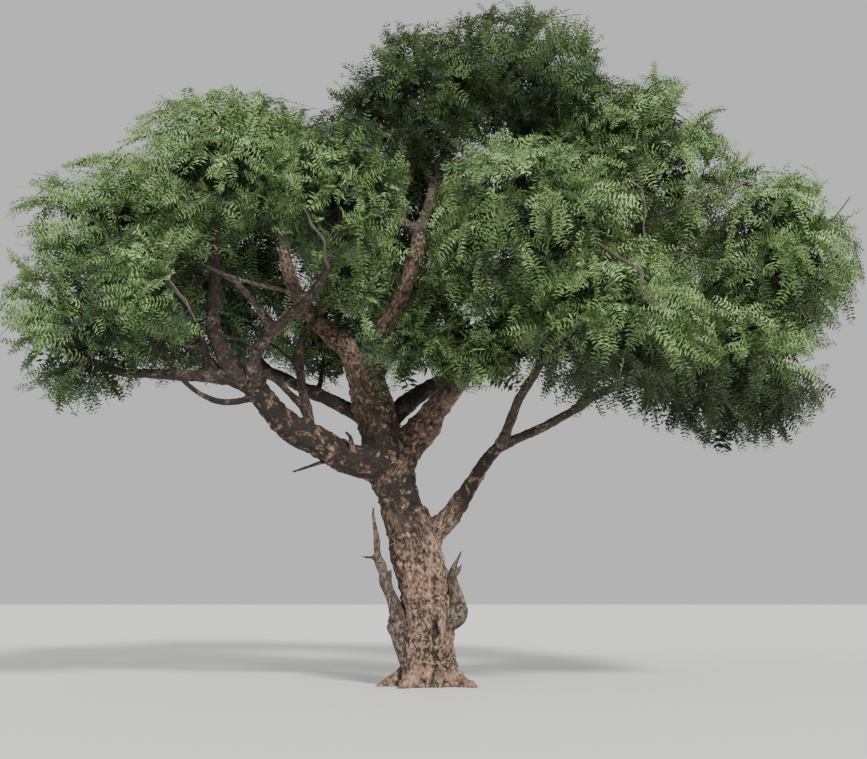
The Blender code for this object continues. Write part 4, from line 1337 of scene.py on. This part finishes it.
def tubesTree():
    tree, start, end = newTree("twigTubes", [("Sides", "NodeSocketInt"), ("Bark", "NodeSocketMaterial")])
    curve = addNode(tree, "GeometryNodeMeshToCurve")
    profile = addNode(tree, "GeometryNodeCurvePrimitiveCircle")
    profile.inputs["Radius"].default_value = 1.0
    sweep = addNode(tree, "GeometryNodeCurveToMesh")
    sweep.inputs["Fill Caps"].default_value = True
    real = addNode(tree, "GeometryNodeRealizeInstances")
    paint = addNode(tree, "GeometryNodeSetMaterial")
    girth = namedValue(tree, "thickness")
    wire(tree, start, "Geometry", curve, "Mesh")
    wire(tree, start, "Sides", profile, "Resolution")
    wire(tree, curve, "Curve", sweep, "Curve")
    wire(tree, profile, "Curve", sweep, "Profile Curve")
    wire(tree, girth, "Attribute", sweep, "Scale")
    wire(tree, sweep, "Mesh", real, "Geometry")
    wire(tree, real, "Geometry", paint, "Geometry")
    wire(tree, start, "Bark", paint, "Material")
    wire(tree, paint, "Geometry", end, "Geometry")
    return tree


def leafRanksTree():
    # leaf pairs along each shoot, turned flat to the shoot's face and smaller at both ends
    inputs = [
        ("Leaf Gap", "NodeSocketFloat"),
        ("Leaf Length", "NodeSocketFloat"),
        ("Wobble", "NodeSocketFloat"),
        ("Seed", "NodeSocketInt"),
        ("Leaf Pair", "NodeSocketObject"),
        ("Leaf", "NodeSocketMaterial"),
    ]
    tree, start, end = newTree("leafRanks", inputs)
    curve = addNode(tree, "GeometryNodeMeshToCurve")
    even = addNode(tree, "GeometryNodeResampleCurve", mode="LENGTH")
    tangent = addNode(tree, "GeometryNodeInputTangent")
    face = namedValue(tree, "face", "FLOAT_VECTOR")
    turn = addNode(tree, "FunctionNodeAxesToRotation", primary_axis="Y", secondary_axis="Z")
    least = addNode(tree, "ShaderNodeMath", operation="MULTIPLY")
    least.inputs[1].default_value = -1.0
    wobble = addNode(tree, "FunctionNodeRandomValue", data_type="FLOAT_VECTOR")
    euler = addNode(tree, "FunctionNodeEulerToRotation")
    turned = addNode(tree, "FunctionNodeRotateRotation", rotation_space="LOCAL")
    factor = addNode(tree, "GeometryNodeSplineParameter")
    shrink = addNode(tree, "ShaderNodeFloatCurve")
    line = shrink.mapping.curves[0]
    line.points[0].location = (0.0, 0.7)
    line.points[1].location = (1.0, 0.45)
    line.points.new(0.35, 1.0)
    line.points.new(0.75, 0.95)
    shrink.mapping.update()
    vary = addNode(tree, "FunctionNodeRandomValue")
    pick(vary.inputs, "Min").default_value = 0.75
    pick(vary.inputs, "Max").default_value = 1.15
    size = namedValue(tree, "leafSize")
    sized = addNode(tree, "ShaderNodeMath", operation="MULTIPLY")
    varied = addNode(tree, "ShaderNodeMath", operation="MULTIPLY")
    long = addNode(tree, "ShaderNodeMath", operation="MULTIPLY")
    pair = addNode(tree, "GeometryNodeObjectInfo")
    place = addNode(tree, "GeometryNodeInstanceOnPoints")
    real = addNode(tree, "GeometryNodeRealizeInstances")
    paint = addNode(tree, "GeometryNodeSetMaterial")
    wire(tree, start, "Geometry", curve, "Mesh")
    wire(tree, curve, "Curve", even, "Curve")
    wire(tree, start, "Leaf Gap", even, "Length")
    wire(tree, tangent, "Tangent", turn, "Primary Axis")
    wire(tree, face, "Attribute", turn, "Secondary Axis")
    tree.links.new(start.outputs["Wobble"], least.inputs[0])
    tree.links.new(least.outputs[0], pick(wobble.inputs, "Min"))
    wire(tree, start, "Wobble", wobble, "Max")
    wire(tree, start, "Seed", wobble, "Seed")
    wire(tree, wobble, "Value", euler, "Euler")
    wire(tree, turn, "Rotation", turned, "Rotation")
    wire(tree, euler, "Rotation", turned, "Rotate By")
    wire(tree, factor, "Factor", shrink, "Value")
    wire(tree, start, "Seed", vary, "Seed")
    tree.links.new(shrink.outputs["Value"], sized.inputs[0])
    tree.links.new(pick(size.outputs, "Attribute"), sized.inputs[1])
    tree.links.new(sized.outputs[0], varied.inputs[0])
    tree.links.new(pick(vary.outputs, "Value"), varied.inputs[1])
    tree.links.new(varied.outputs[0], long.inputs[0])
    tree.links.new(start.outputs["Leaf Length"], long.inputs[1])
    wire(tree, start, "Leaf Pair", pair, "Object")
    wire(tree, even, "Curve", place, "Points")
    wire(tree, pair, "Geometry", place, "Instance")
    wire(tree, turned, "Rotation", place, "Rotation")
    tree.links.new(long.outputs[0], place.inputs["Scale"])
    wire(tree, place, "Instances", real, "Geometry")
    wire(tree, real, "Geometry", paint, "Geometry")
    wire(tree, start, "Leaf", paint, "Material")
    wire(tree, paint, "Geometry", end, "Geometry")
    return tree


def pathsObject(name, paths, values):
    # open lines as a mesh of edges, with named values at their points
    verts = [tuple(p) for points in paths for p in points]
    edges = []
    first = 0
    for points in paths:
        edges += [(first + n, first + n + 1) for n in range(len(points) - 1)]
        first += len(points)
    mesh = bpy.data.meshes.new(name)
    mesh.from_pydata(verts, edges, [])
    for label, kind, data in values:
        setAttribute(mesh, label, kind, data)
    return makeObject(name, mesh)


leafForm = {  # the leaves of the outer shoots, and the coarser ones inside
    "fine": {"gap": 0.046, "length": 0.086},
    "coarse": {"gap": 0.075, "length": 0.15},
    "width": 0.32,  # share of the length
    "widest": 0.42,
    "angle": 69.0,  # from the shoot's direction
    "fold": 0.25,  # how far the two halves fold up along the rib, as a share of their width
    "droop": 0.12,
    "wobble": 0.3,
}


def leafPairMesh():
    # two pointed leaves, folded along the rib, that leave the shoot to either side, one unit long
    form = leafForm
    angle = math.radians(form["angle"])
    verts = []
    faces = []
    uvs = []
    for hand in (-1, 1):
        ahead = Vector((hand * math.sin(angle), math.cos(angle), 0))
        across = Vector((-ahead.y, ahead.x, 0)) * hand
        first = len(verts)
        for share, edge in ((0, 0), (form["widest"], -1), (1, 0), (form["widest"], 1)):
            rise = abs(edge) * form["fold"] * form["width"] / 2 - form["droop"] * share**2
            verts.append(ahead * share + across * edge * form["width"] / 2 + Vector((0, 0, rise)))
            uvs.append((0.5 + edge / 2, share))
        base, low, tip, high = range(first, first + 4)
        corners = [(base, low, tip), (base, tip, high)]
        faces += corners if hand > 0 else [tuple(reversed(face)) for face in corners]
    mesh = bpy.data.meshes.new("leafPair")
    mesh.from_pydata(verts, [], faces)
    layer = mesh.uv_layers.new(name="leafUv")
    for loop in mesh.loops:
        layer.data[loop.index].uv = uvs[loop.vertex_index]
    return mesh


def newMaterial(name, roughness):
    made = bpy.data.materials.new(name)
    made.use_nodes = True
    shader = made.node_tree.nodes["Principled BSDF"]
    shader.inputs["Roughness"].default_value = roughness
    return made, made.node_tree, shader


def barkGrainGroup():
    # fibres and pits that run along the wood, broad patches, and the noise for painted sun flecks
    group = bpy.data.node_groups.new("barkGrain", "ShaderNodeTree")
    group.interface.new_socket(name="Place", in_out="INPUT", socket_type="NodeSocketVector")
    group.interface.new_socket(name="Scale", in_out="INPUT", socket_type="NodeSocketFloat")
    group.interface.new_socket(name="Dapple Scale", in_out="INPUT", socket_type="NodeSocketFloat")
    for label in ("Grain", "Patches", "Dapples", "Height"):
        group.interface.new_socket(name=label, in_out="OUTPUT", socket_type="NodeSocketFloat")
    start = addNode(group, "NodeGroupInput")
    end = addNode(group, "NodeGroupOutput")
    squeeze = addNode(group, "ShaderNodeVectorMath", operation="MULTIPLY")
    squeeze.inputs[1].default_value = (1.0, 1.0, 0.5)
    fibres = addNode(group, "ShaderNodeTexNoise")
    fibres.inputs["Detail"].default_value = 5.0
    fibres.inputs["Roughness"].default_value = 0.55
    fibres.inputs["Distortion"].default_value = 0.5
    patches = addNode(group, "ShaderNodeTexNoise")
    patches.inputs["Scale"].default_value = 2.6
    patches.inputs["Detail"].default_value = 4.0
    # noise for the painted sun flecks in the painted shade of the fork and boughs
    dapples = addNode(group, "ShaderNodeTexNoise")
    dapples.inputs["Detail"].default_value = 4.0
    dapples.inputs["Roughness"].default_value = 0.6
    dapples.inputs["Distortion"].default_value = 0.5
    pits = addNode(group, "ShaderNodeTexVoronoi", feature="DISTANCE_TO_EDGE")
    shallow = addNode(group, "ShaderNodeMapRange")
    shallow.inputs["From Max"].default_value = 0.25
    total = addNode(group, "ShaderNodeMath", operation="MULTIPLY_ADD")
    total.inputs[1].default_value = 0.6
    group.links.new(start.outputs["Place"], squeeze.inputs[0])
    group.links.new(squeeze.outputs[0], fibres.inputs["Vector"])
    group.links.new(start.outputs["Scale"], fibres.inputs["Scale"])
    group.links.new(start.outputs["Place"], patches.inputs["Vector"])
    group.links.new(start.outputs["Place"], dapples.inputs["Vector"])
    group.links.new(start.outputs["Dapple Scale"], dapples.inputs["Scale"])
    group.links.new(squeeze.outputs[0], pits.inputs["Vector"])
    group.links.new(start.outputs["Scale"], pits.inputs["Scale"])
    group.links.new(pits.outputs["Distance"], shallow.inputs["Value"])
    group.links.new(shallow.outputs["Result"], total.inputs[0])
    group.links.new(fibres.outputs["Fac"], total.inputs[2])
    group.links.new(fibres.outputs["Fac"], end.inputs["Grain"])
    group.links.new(patches.outputs["Fac"], end.inputs["Patches"])
    group.links.new(dapples.outputs["Fac"], end.inputs["Dapples"])
    group.links.new(total.outputs[0], end.inputs["Height"])
    return group


barkGrain = barkGrainGroup()
# in each look one colour is the painted shade of the fork and boughs, the palest is partly wear and partly a
# painted highlight on raised knobs, the furrow colour also paints shade into recesses, and the fleck scale
# sizes the painted sun flecks
barkLooks = {
    "barkTrunk": {
        "furrow": (0.02, 0.011, 0.006),
        "dark": (0.055, 0.032, 0.019),
        "light": (0.4, 0.28, 0.2),
        "wearAndHighlight": (0.46, 0.335, 0.245),
        "patch": (0.37, 0.215, 0.145),
        "paintedBoughShade": (0.019, 0.014, 0.011),
        "scale": 33.0,
        "dapples": 7.5,
        "bump": 0.75,
    },
    "barkLimbs": {
        "furrow": (0.014, 0.01, 0.007),
        "dark": (0.045, 0.031, 0.022),
        "light": (0.28, 0.215, 0.165),
        "wearAndHighlight": (0.34, 0.265, 0.21),
        "patch": (0.25, 0.165, 0.12),
        "paintedBoughShade": (0.018, 0.014, 0.0115),
        "scale": 38.0,
        "dapples": 5.0,
        "bump": 0.6,
    },
}


def mixColour(tree, first, second, factor):
    mix = addNode(tree, "ShaderNodeMix", data_type="RGBA")
    for slot, value in ((6, first), (7, second)):
        if isinstance(value, tuple):
            mix.inputs[slot].default_value = (*value, 1.0)
        else:
            tree.links.new(value, mix.inputs[slot])
    tree.links.new(factor, mix.inputs[0])
    return mix.outputs[2]


def ranged(tree, value, low, high):
    node = addNode(tree, "ShaderNodeMapRange")
    node.inputs["From Min"].default_value = low
    node.inputs["From Max"].default_value = high
    tree.links.new(value, node.inputs["Value"])
    return node.outputs["Result"]


def scaledBy(tree, value, factor):
    node = addNode(tree, "ShaderNodeMath", operation="MULTIPLY")
    tree.links.new(value, node.inputs[0])
    if isinstance(factor, float):
        node.inputs[1].default_value = factor
    else:
        tree.links.new(factor, node.inputs[1])
    return node.outputs[0]


def barkMaterial(name):
    # pale knobs, partly wear and partly a painted highlight, painted shade in the recesses, reddish patches,
    # and painted shade up in the fork and on the boughs, broken by painted sun flecks
    look = barkLooks[name]
    made, tree, shader = newMaterial(name, 0.9)
    place = addNode(tree, "ShaderNodeAttribute", attribute_name="barkPlace")
    furrow = addNode(tree, "ShaderNodeAttribute", attribute_name="furrow")
    rise = addNode(tree, "ShaderNodeAttribute", attribute_name="rise")
    hollow = addNode(tree, "ShaderNodeAttribute", attribute_name="hollow")
    tone = addNode(tree, "ShaderNodeAttribute", attribute_name="tone")
    grain = addNode(tree, "ShaderNodeGroup", node_tree=barkGrain)
    grain.inputs["Scale"].default_value = look["scale"]
    grain.inputs["Dapple Scale"].default_value = look["dapples"]
    tree.links.new(place.outputs["Vector"], grain.inputs["Place"])
    mottled = ranged(tree, grain.outputs["Grain"], 0.43, 0.63)
    knobs = mixColour(tree, look["dark"], look["light"], mottled)
    pinkness = scaledBy(tree, ranged(tree, grain.outputs["Patches"], 0.48, 0.66), 0.65)
    patched = mixColour(tree, knobs, look["patch"], pinkness)
    # raised knobs paler, partly wear and partly a painted highlight
    raisedWearAndHighlight = scaledBy(tree, ranged(tree, rise.outputs["Fac"], 0.45, 1.0), mottled)
    wearAndHighlight = mixColour(tree, patched, look["wearAndHighlight"], scaledBy(tree, raisedWearAndHighlight, 0.7))
    # painted shade up in the fork and on the boughs, by the tone attribute, broken by painted sun flecks
    dapples = ranged(tree, grain.outputs["Dapples"], 0.64, 0.52)
    paintedBoughShade = mixColour(tree, wearAndHighlight, look["paintedBoughShade"], scaledBy(tree, tone.outputs["Fac"], dapples))
    cracks = scaledBy(tree, ranged(tree, furrow.outputs["Fac"], 0.2, 0.9), 0.6)
    cracked = mixColour(tree, paintedBoughShade, look["furrow"], cracks)
    # painted shade in the recesses, in the furrow colour
    hollowShadeMask = scaledBy(tree, ranged(tree, hollow.outputs["Fac"], 0.1, 0.9), 0.85)
    hollowShaded = mixColour(tree, cracked, look["furrow"], hollowShadeMask)
    tree.links.new(hollowShaded, shader.inputs["Base Color"])
    bump = addNode(tree, "ShaderNodeBump")
    bump.inputs["Strength"].default_value = look["bump"]
    bump.inputs["Distance"].default_value = 0.02
    tree.links.new(grain.outputs["Height"], bump.inputs["Height"])
    tree.links.new(bump.outputs["Normal"], shader.inputs["Normal"])
    return made


def twigMaterial():
    made, tree, shader = newMaterial("twigBark", 0.85)
    place = addNode(tree, "ShaderNodeTexCoord")
    grain = addNode(tree, "ShaderNodeGroup", node_tree=barkGrain)
    grain.inputs["Scale"].default_value = 60.0
    tree.links.new(place.outputs["Object"], grain.inputs["Place"])
    mottled = ranged(tree, grain.outputs["Grain"], 0.3, 0.7)
    colour = mixColour(tree, (0.045, 0.036, 0.029), (0.15, 0.118, 0.09), mottled)
    tree.links.new(colour, shader.inputs["Base Color"])
    bump = addNode(tree, "ShaderNodeBump")
    bump.inputs["Strength"].default_value = 0.3
    bump.inputs["Distance"].default_value = 0.004
    tree.links.new(grain.outputs["Height"], bump.inputs["Height"])
    tree.links.new(bump.outputs["Normal"], shader.inputs["Normal"])
    return made


leafLooks = {  # a darker and a lighter colour for each tone; the tones are painted light and shade, from sunlit down to shade, and deep is the painted shade of the heart
    "sunlit": ((0.13, 0.225, 0.065), (0.43, 0.62, 0.28)),
    "fresh": ((0.07, 0.14, 0.036), (0.27, 0.43, 0.145)),
    "green": ((0.04, 0.09, 0.024), (0.15, 0.265, 0.08)),
    "olive": ((0.038, 0.07, 0.02), (0.125, 0.2, 0.066)),
    "teal": ((0.02, 0.052, 0.028), (0.07, 0.14, 0.08)),
    "shade": ((0.015, 0.028, 0.01), (0.058, 0.096, 0.036)),
    "deep": ((0.008, 0.019, 0.007), (0.03, 0.058, 0.022)),
}


def leafVeinsGroup():
    # a pale rib down the middle and the dark gaps between leaflets, from the leaf's own coordinates
    group = bpy.data.node_groups.new("leafVeins", "ShaderNodeTree")
    group.interface.new_socket(name="Uv", in_out="INPUT", socket_type="NodeSocketVector")
    group.interface.new_socket(name="Leaflets", in_out="INPUT", socket_type="NodeSocketFloat")
    for label in ("Rib", "Gaps"):
        group.interface.new_socket(name=label, in_out="OUTPUT", socket_type="NodeSocketFloat")
    start = addNode(group, "NodeGroupInput")
    end = addNode(group, "NodeGroupOutput")
    parts = addNode(group, "ShaderNodeSeparateXYZ")
    off = addNode(group, "ShaderNodeMath", operation="SUBTRACT")
    off.inputs[1].default_value = 0.5
    away = addNode(group, "ShaderNodeMath", operation="ABSOLUTE")
    count = addNode(group, "ShaderNodeMath", operation="MULTIPLY")
    slant = addNode(group, "ShaderNodeMath", operation="MULTIPLY_ADD")
    slant.inputs[1].default_value = -4.0
    wave = addNode(group, "ShaderNodeMath", operation="PINGPONG")
    wave.inputs[1].default_value = 0.5
    group.links.new(start.outputs["Uv"], parts.inputs[0])
    group.links.new(parts.outputs["X"], off.inputs[0])
    group.links.new(off.outputs[0], away.inputs[0])
    group.links.new(parts.outputs["Y"], count.inputs[0])
    group.links.new(start.outputs["Leaflets"], count.inputs[1])
    group.links.new(away.outputs[0], slant.inputs[0])
    group.links.new(count.outputs[0], slant.inputs[2])
    group.links.new(slant.outputs[0], wave.inputs[0])
    rib = ranged(group, away.outputs[0], 0.07, 0.02)
    gaps = ranged(group, wave.outputs[0], 0.14, 0.04)
    group.links.new(rib, end.inputs["Rib"])
    group.links.new(gaps, end.inputs["Gaps"])
    return group


leafVeins = leafVeinsGroup()


def leafMaterial(tone):
    dark, light = leafLooks[tone]
    made, tree, shader = newMaterial("leaf" + tone.capitalize(), 0.6)
    shader.inputs["Specular IOR Level"].default_value = 0.25
    uv = addNode(tree, "ShaderNodeUVMap", uv_map="leafUv")
    own = addNode(tree, "ShaderNodeAttribute", attribute_name="shade")
    place = addNode(tree, "ShaderNodeTexCoord")
    mottle = addNode(tree, "ShaderNodeTexNoise")
    mottle.inputs["Scale"].default_value = 16.0
    tree.links.new(place.outputs["Object"], mottle.inputs["Vector"])
    both = addNode(tree, "ShaderNodeMath", operation="MULTIPLY_ADD")
    both.inputs[1].default_value = 0.45
    tree.links.new(own.outputs["Fac"], both.inputs[0])
    uneven = scaledBy(tree, ranged(tree, mottle.outputs["Fac"], 0.3, 0.7), 0.55)
    tree.links.new(uneven, both.inputs[2])
    blade = mixColour(tree, dark, light, both.outputs[0])
    veins = addNode(tree, "ShaderNodeGroup", node_tree=leafVeins)
    veins.inputs["Leaflets"].default_value = 11.0
    tree.links.new(uv.outputs["UV"], veins.inputs["Uv"])
    split = mixColour(tree, blade, tuple(0.55 * value for value in dark), veins.outputs["Gaps"])
    ribbed = mixColour(tree, split, tuple(min(1.0, 1.25 * value) for value in light), veins.outputs["Rib"])
    tree.links.new(ribbed, shader.inputs["Base Color"])
    return made


trunkMembers = [
    "trunk", "west_limb", "leader", "centre_limb", "east_mid_limb", "east_low_limb",
]
fineMembers = [limb.name for limb in limbTable if limb.name not in trunkMembers]
westMembers = [name for name in fineMembers if "west" in name or "inner" in name or name == "back_mid_limb"]
eastMembers = [name for name in fineMembers if name not in westMembers]
westBurls = ["burl_west_twig", "burl_west_knob", "burl_west_spur", "burl_west_foot", "burl_west_hook"]
eastBurls = ["burl_east_spur", "burl_east_lump", "burl_east_tip"]
trunkBurls = ["burl_leader", "burl_fork"]

print("bark")
limbLook = barkMaterial("barkLimbs")
barkSkins = [
    barkPiece("trunkBark", trunkMembers + trunkBurls, barkRelief["voxel"], barkMaterial("barkTrunk")),
    barkPiece("westBoughBark", westMembers + westBurls, barkRelief["fineVoxel"], limbLook),
    barkPiece("eastBoughBark", eastMembers + eastBurls, barkRelief["fineVoxel"], limbLook),
]
for skin, members in zip(barkSkins, (trunkMembers, westMembers, eastMembers)):
    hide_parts(*members)

mostTriangles = 190000


def inLots(things, triangles):
    # the things in as few even lots as keep each under the most triangles a piece may have
    size = math.ceil(len(things) / math.ceil(triangles / mostTriangles))
    return [things[start : start + size] for start in range(0, len(things), size)]


print("twigs")
tubes = tubesTree()
twigBark = twigMaterial()
woodGirths = [girth for _, girths in woodyPaths for girth in girths]
twigWood = pathsObject("twigWood", [points for points, _ in woodyPaths], [("thickness", "FLOAT", woodGirths)])
grow(twigWood, tubes, {"Sides": 5, "Bark": twigBark})
woodPieces = [twigWood]
allShoots = [shoot for shoots in shootsByTone.values() for shoot in shoots]
for number, some in enumerate(inLots(allShoots, 14 * len(allShoots)), 1):
    stems = [shoot.points[::2] for shoot in some]
    girths = [girth for shoot in some for girth in shoot.girths[::2]]
    shootWood = pathsObject(f"shootWood{number}", stems, [("thickness", "FLOAT", girths)])
    grow(shootWood, tubes, {"Sides": 3, "Bark": twigBark})
    woodPieces.append(shootWood)
massNames = [mass.name for mass in massTable]
for piece in woodPieces:
    piece.data.polygons.foreach_set("use_smooth", np.ones(len(piece.data.polygons), bool))
    print(piece.name, sum(len(face.vertices) - 2 for face in piece.data.polygons), "triangles")
    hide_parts(*massNames)

print("leaves")
leafPair = makeObject("leafPair", leafPairMesh())
ranks = leafRanksTree()
leafPieces = []
for tone, shoots in sorted(shootsByTone.items()):
    look = leafMaterial(tone)
    form = leafForm["coarse" if tone == "deep" else "fine"]
    pairs = [sum((b - a).length for a, b in zip(s.points, s.points[1:])) / form["gap"] + 1 for s in shoots]
    for number, some in enumerate(inLots(shoots, sum(pairs) * 4), 1):
        values = [
            ("face", "FLOAT_VECTOR", [tuple(s.face) for s in some for _ in s.points]),
            ("shade", "FLOAT", [s.shade for s in some for _ in s.points]),
            ("leafSize", "FLOAT", [s.size for s in some for _ in s.points]),
        ]
        name = f"leaves{tone.capitalize()}{number}"
        piece = pathsObject(name, [s.points for s in some], values)
        grow(piece, ranks, {
            "Leaf Gap": form["gap"],
            "Leaf Length": form["length"],
            "Wobble": leafForm["wobble"],
            "Seed": 10 + number,
            "Leaf Pair": leafPair,
            "Leaf": look,
        })
        print(name, len(piece.data.polygons), "triangles")
        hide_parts(*massNames)
        leafPieces.append(piece)
bpy.data.objects.remove(leafPair)

for piece in barkSkins + woodPieces + leafPieces:
    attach(piece, "root")

setForm = {
    "floor": 80.0,
    "floorColour": (0.78, 0.77, 0.75, 1.0),
    "cameraPlace": (0.086, -24.0, 1.7),
    "cameraPitch": 5.58,
    "lens": 75.0,
    "world": 0.62,
}


def makeFloor():
    shape = bmesh.new()
    bmesh.ops.create_grid(shape, x_segments=1, y_segments=1, size=setForm["floor"] / 2)
    mesh = bpy.data.meshes.new("floor")
    shape.to_mesh(mesh)
    shape.free()
    mesh.transform(Matrix.Translation((0, 0, -0.001)))
    floor = makeObject("floor", mesh)
    look, _, shader = newMaterial("paleFloor", 0.8)
    shader.inputs["Base Color"].default_value = setForm["floorColour"]
    mesh.materials.append(look)


def makeSun(name, energy, angle, turn):
    lamp = bpy.data.lights.new(name, "SUN")
    lamp.energy = energy
    lamp.angle = math.radians(angle)
    placed = makeObject(name, lamp)
    placed.rotation_euler = [math.radians(part) for part in turn]


def makeCamera():
    camera = bpy.data.cameras.new("camera")
    camera.lens = setForm["lens"]
    camera.sensor_width = 36.0
    placed = makeObject("camera", camera)
    placed.location = setForm["cameraPlace"]
    placed.rotation_euler = (math.radians(90 + setForm["cameraPitch"]), 0, 0)
    bpy.context.scene.camera = placed


makeFloor()
makeSun("key", 3.7, 10, (52, 0, 24))
makeSun("fill", 0.8, 60, (60, 0, -55))
makeCamera()
world = bpy.data.worlds.new("studio")
world.use_nodes = True
world.node_tree.nodes["Background"].inputs["Color"].default_value = (1, 1, 1, 1)
world.node_tree.nodes["Background"].inputs["Strength"].default_value = setForm["world"]
bpy.context.scene.world = world
